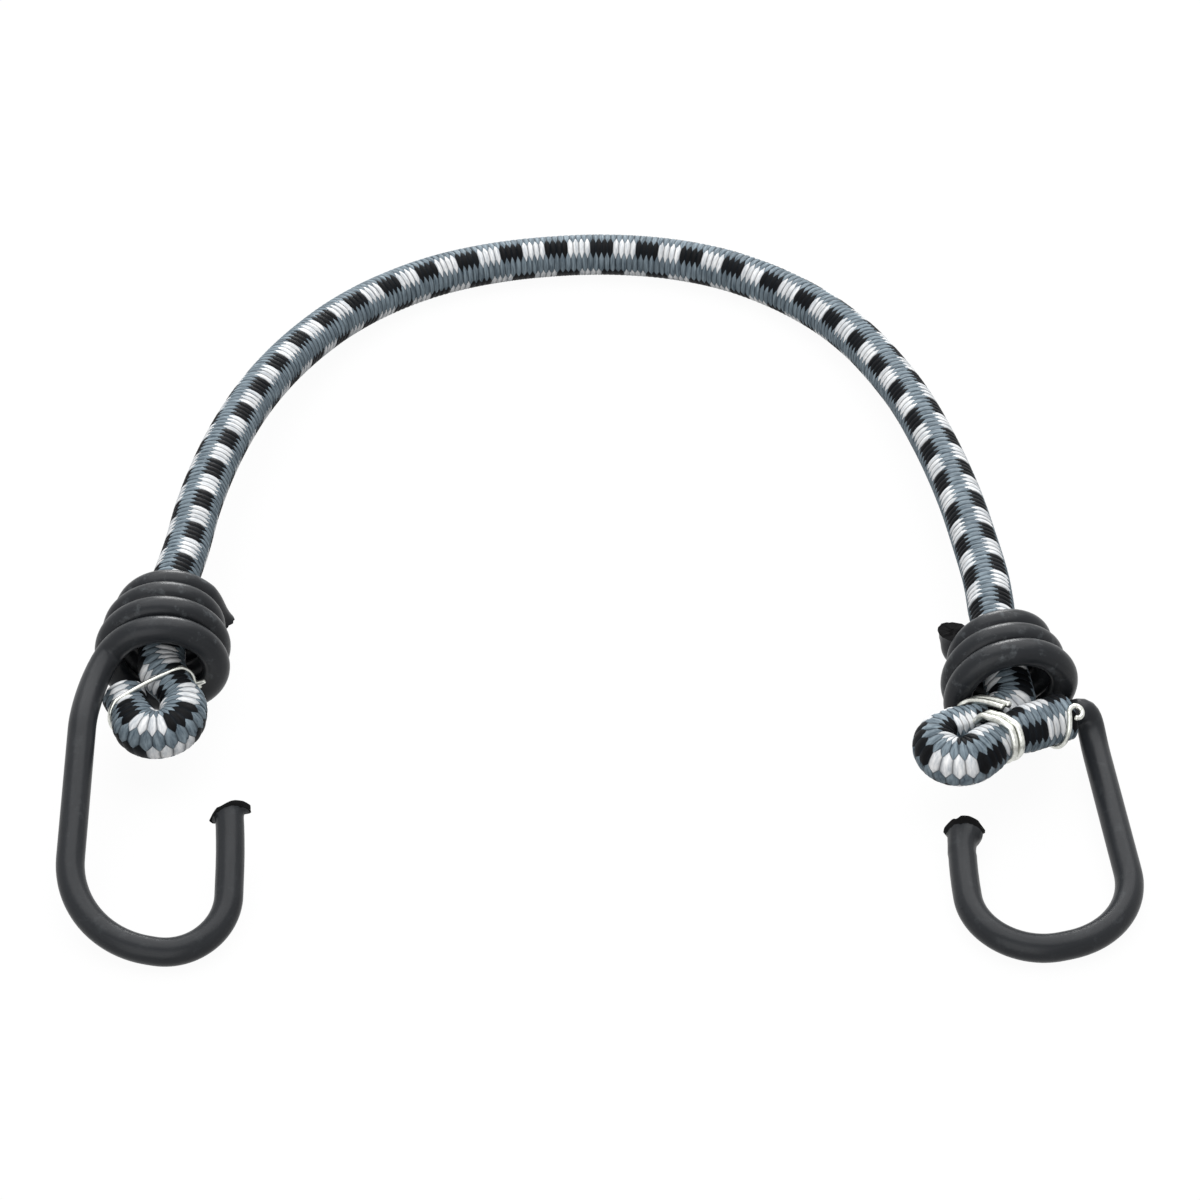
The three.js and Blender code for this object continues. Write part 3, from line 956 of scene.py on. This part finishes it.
@dataclass
class WireHook:
    """A hook of coated spring wire: tip, bend, shank, crossover, and a conical coil round the cord."""

    side: Side
    mouth: Point  # middle of the coil's wide end; this and the sizes below are millimetres
    yaw: float  # degrees that the coil is turned on the ground, and that it rises
    tilt: float
    throat: float  # shank to tip, middle to middle
    reach: float  # coil's mouth to the far side of the bend
    shank_bend: float
    tip_bend: float
    slant: float  # degrees between the shank and the run across to the tip's bend
    tip_length: float
    tip_lean: float  # degrees
    shank_shift: float  # outwards from half the throat
    shank_start: float  # where the shank leaves the crossover to the coil
    shank_lift: float  # above the coil's middle, where the shank starts
    bend_lift: float  # and at the far side of the bend
    crossover_pull: float  # how far the wire keeps its direction into the crossover
    coil_start: float  # degrees
    radii: tuple[float, float, float, float]  # of the coil, a turn apart, from its mouth
    end_flare: float  # how much wider the coil gets at its narrow end
    end_run: float  # straight wire after it
    end_taper: float  # share of the radius at the wire's end behind the coil
    tip_curl: float  # how far the tip leans towards the shank
    tip_cut: tuple[float, float]  # slant of the cut and its angle in degrees
    tip_swelling: float  # how far the torn lip stands out all round
    tip_bumps: tuple[tuple[float, float, float, float], ...]  # angle, how much further, half width, depth
    lip: tuple[tuple[float, float, float], ...]  # share of the swell, slide from the end, share of the radius
    lip_torn_shade: int  # rings of the lip that are torn and painted near black as painted shade
    turns: float = 3.5
    pitch: float = 4.74
    coat_radius: float = 2.3
    wire_radius: float = 1.4
    mouth_turn: float = 0.25  # turns from the shank's side to where the coil's mouth is measured
    flare_turn: float = 0.9  # radians of the coil that flare
    curl_length: float = 11.0  # of the tip that leans
    end_corner: Point = (0.0, 0.0, 0.0)  # which way, and how far, the end behind the coil bulges
    # Rings of that end: share of the radius, and slide past the wire's last place.
    end_rings: tuple[Row, ...] = ((1.0, -1.4), (1.02, -0.4), (1.07, 0.0), (0.6, 0.05), (0.25, 0.0))
    end_skip: int = 4  # plain rings that they stand in for
    taper_rings: float = 9.0  # over which the wire thins to that end
    bump_hold: float = 0.5  # how far back from the tip a bump is at its full height
    bump_power: float = 0.7  # below 1, a bump has a broad top
    rag_grain: float = 3.1  # how fine the torn lip's rags are round the wire
    rag_run: float = 0.25  # and from ring to ring
    rag_out: float = 0.45  # how ragged the lip is outwards, as a share of how far it stands out
    rag_along: float = 0.6  # and along the wire
    end_rag: Row = (0.05, 0.4)  # the same of the end behind the coil: share of the radius, and along
    shank_wear: float = 0.25  # of the tip, bend and shank, against 1 on the coil
    shank_share: float = 0.4  # of the wire's rings that are tip, bend and shank
    bend_step: float = 4.0  # degrees
    coil_step: float = 5.0  # degrees
    crossover_steps: int = 16
    ring_step: float = 0.6
    core_step: float = 1.2
    core_set_back: float = 0.7  # of the wire's cut face from the coating's
    core_sides: int = 14
    sides: int = 36

    def stance(self) -> Matrix:
        """Frame of the coil: x towards the shank, z from its mouth to its narrow end.

        Returns:
            The matrix.
        """
        yaw, tilt = math.radians(self.yaw), math.radians(self.tilt)
        along = Vector((-math.sin(yaw) * math.cos(tilt), math.cos(yaw) * math.cos(tilt), math.sin(tilt)))
        across = Vector((-math.cos(yaw), -math.sin(yaw), 0.0)) * self.side.value
        return frame_at(Vector(self.mouth) * MM, across, along)

    def bend_line(self) -> list[Vector]:
        """Middle of the wire from its tip round the bend to the start of the crossover.

        Returns:
            Points in the coil's frame, in millimetres.
        """
        slant = math.radians(self.slant)
        shank = self.throat / 2.0 + self.shank_shift
        across = self.throat - self.shank_bend * (1.0 - math.cos(slant))
        across -= self.tip_bend * (1.0 + math.cos(slant))
        runs = [
            (self.shank_bend, slant),
            (across / math.sin(slant), 0.0),
            (self.tip_bend, math.pi - slant + math.radians(self.tip_lean)),
            (self.tip_length, 0.0),
        ]
        x, out, heading = shank, 0.0, 0.0
        outline = [(x, out)]
        for size, angle in runs:
            steps = max(round(abs(angle) / math.radians(self.bend_step)), 6)
            chord = 2.0 * size * math.sin(angle / steps / 2.0) if angle else size / steps
            for _ in range(steps):
                heading += angle / steps / 2.0
                x -= chord * math.sin(heading)
                out += chord * math.cos(heading)
                heading += angle / steps / 2.0
                outline.append((x, out))
        farthest = max(out for _, out in outline)
        slope = (self.bend_lift - self.shank_lift) / (self.reach - self.shank_start)
        line = []
        for x, out in reversed(outline):
            reach = out + self.reach - farthest
            line.append(Vector((x, self.shank_lift + slope * (reach - self.shank_start), -reach)))
        tip = line[0].copy()
        for place in line:
            left = max(0.0, 1.0 - (place - tip).length / self.curl_length)
            place.x += self.tip_curl * left * left
        end = Vector((shank, self.shank_lift, -self.shank_start))
        steps = max(round((end - line[-1]).length), 2)
        start = line[-1]
        return line + [start.lerp(end, k / steps) for k in range(1, steps + 1)]

    def coil_point(self, angle: float) -> Vector:
        """Point of the coil.

        Args:
            angle: Round the coil from the shank's side, whole turns counted.

        Returns:
            The point in the coil's frame, in millimetres.
        """
        along = angle / TURN - self.mouth_turn
        turn = min(max(along, 0.0), 3.0)
        whole = min(int(turn), 2)
        flare = min(max(angle - self.turns * TURN + self.flare_turn, 0.0), 1.0)
        radius = self.radii[whole] + (self.radii[whole + 1] - self.radii[whole]) * (turn - whole)
        radius += self.end_flare * flare * flare
        return Vector(polar(angle, radius, self.pitch * along))

    def route(self, spacing: float) -> Route:
        """Middle of the whole wire from its tip to its end behind the coil.

        Args:
            spacing: Distance between its places, in millimetres.

        Returns:
            The line, in place.
        """
        bend = self.bend_line()
        start, end = math.radians(self.coil_start), self.turns * TURN
        steps = round((end - start) / math.radians(self.coil_step))
        coil = [self.coil_point(start + (end - start) * k / steps) for k in range(steps + 1)]
        leave = (bend[-1] - bend[-2]).normalized() * self.crossover_pull
        arrive = (coil[1] - coil[0]).normalized() * self.crossover_pull
        a, b, c, d = bend[-1], bend[-1] + leave, coil[0] - arrive, coil[0]
        crossover = []
        for t in (k / self.crossover_steps for k in range(1, self.crossover_steps)):
            u = 1.0 - t
            crossover.append(a * u**3 + b * 3.0 * u * u * t + c * 3.0 * u * t * t + d * t**3)
        out = (coil[-1] - coil[-2]).normalized() * self.end_run
        stance, points = self.stance(), [*bend, *crossover, *coil, coil[-1] + out]
        return Route([stance @ (point * MM) for point in points]).spaced(spacing * MM)

    def tip_swell(self, angle: float, back: float) -> float:
        """How far the torn lip stands out from the wire.

        Args:
            angle: Round the wire.
            back: Millimetres from the tip.

        Returns:
            The height of the lip in millimetres.
        """
        swell = self.tip_swelling
        for middle, height, half, depth in self.tip_bumps:
            off = abs((math.degrees(angle) - middle + 180.0) % 360.0 - 180.0)
            fade = min(max(1.0 - (back - self.bump_hold) / depth, 0.0), 1.0)
            swell += height * fade * max(0.0, 1.0 - off / half) ** self.bump_power
        return swell

    def coating(self) -> bmesh.types.BMesh:
        """The coating's skin, with the lip torn at its tip and its cut end behind the coil.

        Returns:
            The mesh.
        """
        frames = self.route(self.ring_step).carried_frames(self.stance().col[1].xyz)
        lip, ends = self.lip, self.end_rings
        skip = math.ceil(lip[-1][1] / self.ring_step) + 1
        middle = frames[skip : -self.end_skip]
        every = [*[frames[0]] * len(lip), *middle, *[frames[-1]] * len(ends)]
        tail = len(lip) + len(middle)
        cut, cut_angle = self.tip_cut
        out, along = self.end_rag
        torn_out = Vector(self.end_corner)

        def corner(ring: int, angle: float) -> Point:
            """Place of a corner: on the torn lip, on the plain wire or on the cut end.

            Args:
                ring: Number of its ring.
                angle: Round the ring.

            Returns:
                The place in the ring's frame.
            """
            rough = noise.noise(Vector(polar(angle, height=ring * self.rag_run)) * self.rag_grain)
            radius, slide = self.coat_radius, 0.0
            if ring < len(lip):
                swell, slide, share = lip[ring]
                stands = self.tip_swell(angle, slide) * swell
                radius = radius * share + stands * (1.0 + self.rag_out * rough)
                slide += self.rag_along * (rough * swell + stands)
                slide += cut * math.cos(angle - math.radians(cut_angle)) * (1.0 - ring / len(lip)) * share
            elif ring >= tail:
                share, slide = ends[ring - tail]
                bulge = max(0.0, (every[ring].to_3x3() @ Vector(polar(angle))).dot(torn_out)) ** 3
                radius *= share * (1.0 + out * rough) + share**4 * bulge
                slide += along * rough
            past = max(0.0, 1.0 - (tail - ring) / self.taper_rings)
            radius *= 1.0 - (1.0 - self.end_taper) * min(past, 1.0)
            return polar(angle, radius * MM, slide * MM)

        def worn(ring: int, angle: float) -> float:
            """How far a corner is rubbed, or -1 where it is torn and painted near black as painted shade."""
            torn = ring < self.lip_torn_shade or ring > tail + 1
            return -1.0 if torn else self.shank_wear if ring < self.shank_share * len(every) else 1.0

        def drawn(ring: int, angle: float) -> Vector:
            """Where a corner is on the wire as it was dipped, for the mottling."""
            return Vector(polar(angle, height=ring * self.ring_step))

        return ring_skin(every, self.sides, corner, marks={WEAR: worn, LAY: drawn})

    def core(self) -> bmesh.types.BMesh:
        """The wire in the coating, sheared off at its end behind the coil.

        Returns:
            The mesh.
        """
        frames = self.route(self.core_step).carried_frames(self.stance().col[1].xyz)[1:]
        frames[-1] = frames[-1] @ Matrix.Translation((0.0, 0.0, -self.core_set_back * MM))
        return round_wire(frames, self.wire_radius * self.end_taper * MM, self.core_sides)

    def build(self, coating: bpy.types.Material, steel: bpy.types.Material) -> None:
        """Makes the hook's two pieces.

        Args:
            coating: Finish of the coating.
            steel: Finish of the wire.
        """
        word = self.side.word
        coat = make_piece(self.coating(), f"{word}_hook_coating", coating)
        wire = make_piece(self.core(), f"{word}_hook_spring_wire", steel)
        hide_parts(f"{word}_hook_coat")
        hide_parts(f"{word}_hook_wire")
        for piece in (coat, wire):
            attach(piece, f"{word}_hook")


@dataclass
class FoldTie:
    """Wire drawn tight round both runs of a folded end."""

    side: Side
    tail: Point  # a point on the middle of the tail, square to it in the tie's plane
    tail_heading: Point
    run: tuple[Point, Point]  # two points on the middle of the other run
    wire_radius: float  # millimetres, as are the next two
    grip: float  # from a run's middle to the wire's
    pitch: float  # between strands
    strands: int
    course: Sequence[tuple[float, float, float]]  # angle from the other run, shift to the cut end, lift
    crossing: float = 2.0  # how soon the wire passes from one run to the other
    course_step: float = 9.0  # degrees
    spacing: float = 0.3
    sides: int = 12

    def strand(self, shift: float) -> bmesh.types.BMesh:
        """One strand of the tie.

        Args:
            shift: How far it is moved towards the cut end.

        Returns:
            The mesh.
        """
        tail, heading = Vector(self.tail), Vector(self.tail_heading).normalized()
        start, end = (Vector(p) for p in self.run)
        other = (end - start).normalized()
        second = start + other * (tail - start).dot(heading) / other.dot(heading)
        across = (second - tail).normalized()
        half, middle = (second - tail).length / 2.0, tail.lerp(second, 0.5)
        up = across.cross(heading).normalized()
        up = up if up.z > 0.0 else -up
        points = []
        for before, after in zip(self.course, self.course[1:]):
            steps = max(round(abs(after[0] - before[0]) / self.course_step), 2)
            for step in range(0 if not points else 1, steps + 1):
                angle, forward, lift = (a + (b - a) * step / steps for a, b in zip(before, after))
                sideways, rise, _ = polar(math.radians(angle), self.grip + lift)
                lean = self.crossing * math.cos(math.radians(angle))
                sideways += half * min(max(lean, -1.0), 1.0)
                points.append((middle + across * sideways + up * rise + heading * (forward + shift)) * MM)
        frames = Route.through(points, self.spacing * MM).carried_frames(heading)
        return round_wire(frames, self.wire_radius * MM, self.sides)

    def build(self, zinc: bpy.types.Material) -> None:
        """Makes the tie.

        Args:
            zinc: Finish of the wire.
        """
        shifts = [self.pitch * (k - (self.strands - 1) / 2.0) for k in range(self.strands)]
        word = self.side.word
        shape = joined([self.strand(shift) for shift in shifts])
        piece = make_piece(shape, f"{word}_tie_wire", zinc)
        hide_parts(f"{word}_fold_tie")
        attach(piece, f"{word}_end")


@dataclass
class TailClip:
    """A wire bent round the tail near its cut end, its own end curled into an eye that lies on the tail."""

    middle: Point  # millimetres, as are the sizes
    heading: Point
    grip: float = 4.35
    wire_radius: float = 0.42
    start: float = -75.0  # degrees from level outwards
    span: float = 125.0
    drift: float = 1.4  # how far it leans towards the cut end
    eye_radius: float = 1.05
    eye_span: float = 310.0
    eye_rise: float = 0.8  # from the eye's start to its end, so that the wire passes over itself
    steps: int = 16
    spacing: float = 0.25
    sides: int = 12

    def build(self, zinc: bpy.types.Material) -> None:
        """Makes the clip.

        Args:
            zinc: Finish of the wire.
        """
        middle, heading = Vector(self.middle), Vector(self.heading).normalized()
        outward = Vector((heading.y, -heading.x, 0.0)).normalized()
        up = heading.cross(outward)
        up = up if up.z > 0.0 else -up

        def spoke(degrees: float) -> Vector:
            """Direction from the tail's middle at an angle round it."""
            angle = math.radians(degrees)
            return outward * math.cos(angle) + up * math.sin(angle)

        last = self.start + self.span
        points = []
        for share in (k / self.steps for k in range(self.steps + 1)):
            lean = heading * self.drift * share * share
            points.append(middle + spoke(self.start + self.span * share) * self.grip + lean)
        eye = points[-1] + heading * self.eye_radius
        for share in (k / self.steps for k in range(1, self.steps + 1)):
            angle = math.radians(180.0 - self.eye_span * share)
            reach = heading * math.cos(angle) + spoke(last + 90.0) * math.sin(angle)
            points.append(eye + reach * self.eye_radius + spoke(last) * self.eye_rise * share)
        frames = Route.through([p * MM for p in points], self.spacing * MM).carried_frames(heading)
        shape = round_wire(frames, self.wire_radius * MM, self.sides)
        piece = make_piece(shape, "right_tail_wire_clip", zinc)
        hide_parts("right_tail_clip")
        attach(piece, "right_end")


@dataclass(frozen=True)
class SoftLamp:
    """A square lamp with a soft edge to its shadows."""

    name: str
    place: Point
    size: float  # width of its face in metres
    watts: float

    def build(self, target: Point) -> None:
        """Adds the lamp.

        Args:
            target: What it points at.
        """
        data = bpy.data.lights.new(self.name, "AREA")
        data.shape, data.size, data.energy = "SQUARE", self.size, self.watts
        lamp = new_object(self.name, data)
        lamp.location = self.place
        lamp.rotation_mode = "QUATERNION"
        lamp.rotation_quaternion = (Vector(target) - Vector(self.place)).to_track_quat("-Z", "Y")


@dataclass(frozen=True)
class Studio:
    """White floor, soft light from above and behind, and the photograph's camera."""

    camera_place: Point = (0.0, -0.4048, 0.3928)
    camera_pitch: float = 49.2  # degrees from straight down
    lens: float = 102.0  # millimetres, as is the sensor's width
    sensor: float = 36.0
    clip: Row = (0.01, 20.0)  # nearest and farthest that the camera shows
    floor_size: float = 4.0
    floor_glow: float = 0.95
    floor_tones: Row = (0.35, 0.9)  # of the paper, as other rays meet it and as the camera does
    room_glow: float = 0.3
    middle: Point = (0.0, 0.05, 0.0)  # what the lamps point at
    lamps: tuple[SoftLamp, ...] = (
        SoftLamp("overhead_box", (0.05, 0.55, 1.15), 1.8, 27.0),
        SoftLamp("front_fill", (-0.4, -1.2, 0.6), 1.2, 9.0),
        SoftLamp("rear_rim", (0.0, 1.5, 0.4), 0.5, 10.0),
    )

    def camera(self) -> None:
        """Sets up the camera."""
        data = bpy.data.cameras.new("camera")
        data.sensor_fit = "HORIZONTAL"
        data.sensor_width, data.lens = self.sensor, self.lens
        data.clip_start, data.clip_end = self.clip
        camera = new_object("camera", data)
        camera.location = self.camera_place
        camera.rotation_euler = (math.radians(self.camera_pitch), 0.0, 0.0)
        bpy.context.scene.camera = camera

    def floor(self) -> None:
        """Makes the floor: white to the eye, with the object's shadow kept."""
        shape = bmesh.new()
        bmesh.ops.create_grid(shape, x_segments=8, y_segments=8, size=self.floor_size / 2.0)
        mesh = bpy.data.meshes.new("floor")
        shape.to_mesh(mesh)
        shape.free()
        material = bpy.data.materials.new("white_paper_sweep")
        add = new_nodes(material)
        rays = add("LightPath").outputs
        dark, light = self.floor_tones
        tone = add("Math", (rays["Is Camera Ray"], light - dark, dark), operation="MULTIPLY_ADD")
        seen = add("Math", (rays["Is Camera Ray"], self.floor_glow), operation="MULTIPLY")
        shiny = add("Math", (rays["Is Glossy Ray"], self.floor_glow), operation="MULTIPLY")
        share = add("Math", (seen, shiny), operation="MAXIMUM")
        paper, glow = add("BsdfDiffuse", (tone,)), add("Emission", (WHITE, 1.0))
        add("OutputMaterial", (add("MixShader", (share, paper, glow)),))
        mesh.materials.append(material)
        new_object("floor", mesh)

    def world(self) -> None:
        """Sets up the world: white to the eye and in gloss, dimmer as light."""
        world = bpy.data.worlds.new("studio")
        add = new_nodes(world)
        rays = add("LightPath").outputs
        seen = add("Math", (rays["Is Camera Ray"], rays["Is Glossy Ray"]), operation="MAXIMUM")
        room, white = add("Background", (WHITE, self.room_glow)), add("Background", (WHITE, 1.0))
        add("OutputWorld", (add("MixShader", (seen, room, white)),))
        bpy.context.scene.world = world
        bpy.context.scene.view_settings.view_transform = "Standard"

    def build(self) -> None:
        """Sets up the camera, the floor, the lamps and the world."""
        self.camera()
        self.floor()
        for lamp in self.lamps:
            lamp.build(self.middle)
        self.world()


SPRING_STEEL = MetalFinish("drawn_spring_steel", light="c9cbcd", dark="8c8f92", roughness=0.26, grain=2500.0)
ZINC_PLATE = MetalFinish("zinc_plated_wire", light="e6e7e2", dark="b4b6ae", roughness=0.22, grain=1800.0)

# The cord's line from the left coil to the right one, and what was seen along it.
SLACK_CORD = SlackCord(
    points=(
        (-73.7, 38.9, 12.1), (-72.3, 50.5, 11.4), (-71.3, 62.1, 11.2), (-69.6, 73.7, 10.9),
        (-67.3, 85.2, 10.2), (-64.4, 96.4, 9.1), (-60.5, 107.4, 7.9), (-55.5, 117.9, 6.7),
        (-49.3, 127.7, 5.6), (-41.5, 136.4, 4.6), (-32.0, 143.2, 4.1), (-21.2, 147.5, 4.0),
        (-9.7, 149.8, 4.0), (1.9, 150.3, 4.1), (13.6, 148.9, 4.1), (24.6, 145.2, 4.1),
        (34.5, 139.0, 4.1), (42.8, 130.8, 4.4), (49.2, 121.0, 5.1), (54.0, 110.4, 5.9),
        (57.8, 99.4, 6.8), (60.6, 88.1, 7.7), (62.8, 76.7, 8.7), (64.5, 65.1, 9.8),
        (65.7, 53.5, 10.8), (66.7, 41.9, 11.6), (66.8, 30.3, 12.4),
    ),
    picks=(
        (5.8, 4.0), (42.5, 36.0), (79.0, 68.0), (115.9, 100.0), (152.8, 132.0), (189.8, 164.0),
        (217.0, 188.0), (236.2, 204.0), (257.3, 220.0), (277.9, 236.0), (296.5, 252.0),
    ),
    row_angle=(
        (8.0, 26.0), (26.0, 25.0), (44.0, 28.0), (56.0, 26.0), (68.0, 20.0), (78.0, 14.5), (86.0, 17.0),
        (96.0, 24.5), (104.0, 27.5), (116.0, 28.5), (140.0, 30.0), (152.0, 33.0), (164.0, 35.3),
        (188.0, 38.3), (212.0, 43.3), (236.0, 47.5), (248.0, 50.0), (260.0, 53.0), (272.0, 56.0),
        (284.0, 58.5), (304.0, 58.5),
    ),
    row_gather=((40.0, 0.0), (80.0, 3.1), (190.0, 3.1), (240.0, 0.0)),
    row_crowd=((40.0, 0.0), (80.0, 5.5), (190.0, 5.5), (240.0, 0.0)),
)

LEFT_FOLD = FoldedEnd(
    side=Side.LEFT,
    corners=(
        (-73.6, 19.2, 11.4), (-69.2, 12.0, 10.3), (-69.0, 5.0, 9.8), (-75.7, 4.9, 9.7), (-79.4, 13.8, 10.3),
    ),
    bends=(4.6, 4.6, 4.2, 3.6),
    row_angle=((0.0, -22.0), (40.0, -18.0)),
    girth=(
        (4.0, 0.96), (9.0, 1.0), (15.0, 1.0), (19.0, 0.84), (24.0, 1.0), (36.0, 1.0), (40.2, 0.84),
        (43.0, 0.92),
    ),
    pick_shift=0.4,
    seam=((-74.4, 12.4, 10.2), (-7.0, -4.0, -0.7)),
)

RIGHT_FOLD = FoldedEnd(
    side=Side.RIGHT,
    corners=(
        (68.67, 9.41, 11.19), (53.6, 1.2, 11.9), (57.8, -6.2, 11.9), (65.9, 1.0, 13.2), (76.5, 6.3, 12.6),
    ),
    bends=(4.3, 3.7, 3.9, 10.0),
    row_angle=((0.0, 58.0), (20.0, 58.0), (35.0, 61.0)),
    girth=(
        (4.0, 0.96), (9.0, 1.0), (16.0, 1.0), (20.5, 0.82), (26.0, 1.0), (42.0, 1.0), (46.8, 0.82),
        (51.0, 1.0),
    ),
    pick_shift=-1.7,
    seam=((64.4, 3.7, 12.3), (2.9, -5.3, 1.7)),
)

LEFT_HOOK = WireHook(
    side=Side.LEFT, mouth=(-73.6, 19.4, 11.4), yaw=0.4, tilt=2.2, throat=25.62, reach=56.71,
    shank_bend=16.31, tip_bend=9.43, slant=80.4, tip_length=15.0, tip_lean=1.0, shank_shift=-1.62,
    shank_start=17.0, shank_lift=3.1, bend_lift=-6.95, crossover_pull=4.5, coil_start=40.0,
    radii=(9.10, 9.20, 8.09, 6.41), end_flare=1.6, end_run=4.4, end_taper=0.64,
    tip_curl=0.5, tip_cut=(1.1, 90.0), tip_swelling=0.15,
    tip_bumps=((95.0, 0.75, 50.0, 2.0), (275.0, 1.45, 30.0, 1.5)),
    lip=(
        (0.0, -0.9, 0.25), (0.1, -0.7, 0.72), (0.7, -0.35, 1.0), (1.0, 0.1, 1.0), (0.9, 0.5, 1.0),
        (0.4, 0.75, 1.0), (0.1, 1.0, 1.0), (0.0, 1.8, 1.0), (0.0, 3.2, 1.0),
    ),
    lip_torn_shade=5,
)

RIGHT_HOOK = WireHook(
    side=Side.RIGHT, mouth=(68.5, 11.4, 11.3), yaw=5.0, tilt=3.2, throat=26.50, reach=47.98,
    shank_bend=14.46, tip_bend=11.14, slant=80.7, tip_length=15.2, tip_lean=1.0, shank_shift=0.12,
    shank_start=7.7, shank_lift=6.2, bend_lift=6.3, crossover_pull=9.3, coil_start=38.6,
    radii=(9.05, 9.31, 7.32, 6.29), end_flare=1.05, end_run=1.8, end_taper=1.0,
    tip_curl=1.3, tip_cut=(0.4, 270.0), tip_swelling=0.05, curl_length=16.0,
    tip_bumps=((100.0, 1.3, 80.0, 5.0), (275.0, 0.9, 28.0, 1.2)),
    lip=(
        (0.0, 0.5, 0.25), (0.1, 0.1, 0.7), (0.7, -0.25, 0.97), (1.0, 0.4, 1.0), (1.0, 1.1, 1.0),
        (1.0, 1.9, 1.0), (0.8, 2.8, 1.0), (0.4, 3.7, 1.0), (0.1, 4.7, 1.0), (0.0, 5.8, 1.0),
    ),
    lip_torn_shade=5, pitch=4.69, flare_turn=1.3, end_corner=(-0.47, 0.3, 0.36),
)

LEFT_TIE = FoldTie(
    side=Side.LEFT, tail=(-78.3, 10.9, 9.8), tail_heading=(-4.1, 7.8, -0.3),
    run=((-73.6, 19.2, 11.4), (-69.2, 12.0, 10.3)), wire_radius=0.38, grip=3.72, pitch=0.0, strands=1,
    course=(
        (-30.0, 1.0, 1.5), (-12.0, 1.2, 0.2), (25.0, 1.5, 0.0), (55.0, 1.2, 0.0), (120.0, -0.3, 0.0),
        (180.0, -1.2, 0.0), (240.0, -1.0, 0.0), (300.0, 0.0, 0.0), (340.0, 0.8, 0.1), (350.0, 0.2, 1.8),
    ),
)

RIGHT_TIE = FoldTie(
    side=Side.RIGHT, tail=(65.9, 1.0, 13.2), tail_heading=(0.88, 0.48, 0.0),
    run=((68.67, 9.41, 11.19), (53.6, 1.2, 11.9)), wire_radius=0.6, grip=3.85, pitch=1.3, strands=2,
    course=(
        (97.0, 2.3, 0.1), (75.0, 1.0, 0.1), (45.0, -1.2, 0.0), (0.0, -1.8, 0.0), (-60.0, -1.5, 0.0),
        (-120.0, -0.4, 0.0), (-150.0, 0.2, 0.0), (-225.0, 0.4, 0.0), (-250.0, -0.4, 0.0),
        (-265.0, -1.6, -0.2), (-272.0, -2.5, -1.6),
    ),
)

RIGHT_CLIP = TailClip(middle=(74.0, 5.05, 12.7), heading=(10.6, 5.3, -0.6))


def main() -> None:
    """Builds the scene piece by piece."""
    Studio().build()
    finishes = (BraidFinish(), RubberFinish(), CoatingFinish(), SPRING_STEEL, ZINC_PLATE)
    braid, rubber, coating, steel, zinc = (finish.material() for finish in finishes)
    route = SLACK_CORD.build(braid, rubber)
    start_pick = between(SLACK_CORD.picks, -SLACK_CORD.in_coil / MM, smooth=False)
    end_pick = between(SLACK_CORD.picks, (route.length - SLACK_CORD.in_coil) / MM, smooth=False)
    LEFT_FOLD.build(route.places[0], start_pick, braid, rubber)
    RIGHT_FOLD.build(route.places[-1], end_pick, braid, rubber)
    for hook in (LEFT_HOOK, RIGHT_HOOK):
        hook.build(coating, steel)
    for tie in (LEFT_TIE, RIGHT_TIE, RIGHT_CLIP):
        tie.build(zinc)


if __name__ == "__main__":
    main()
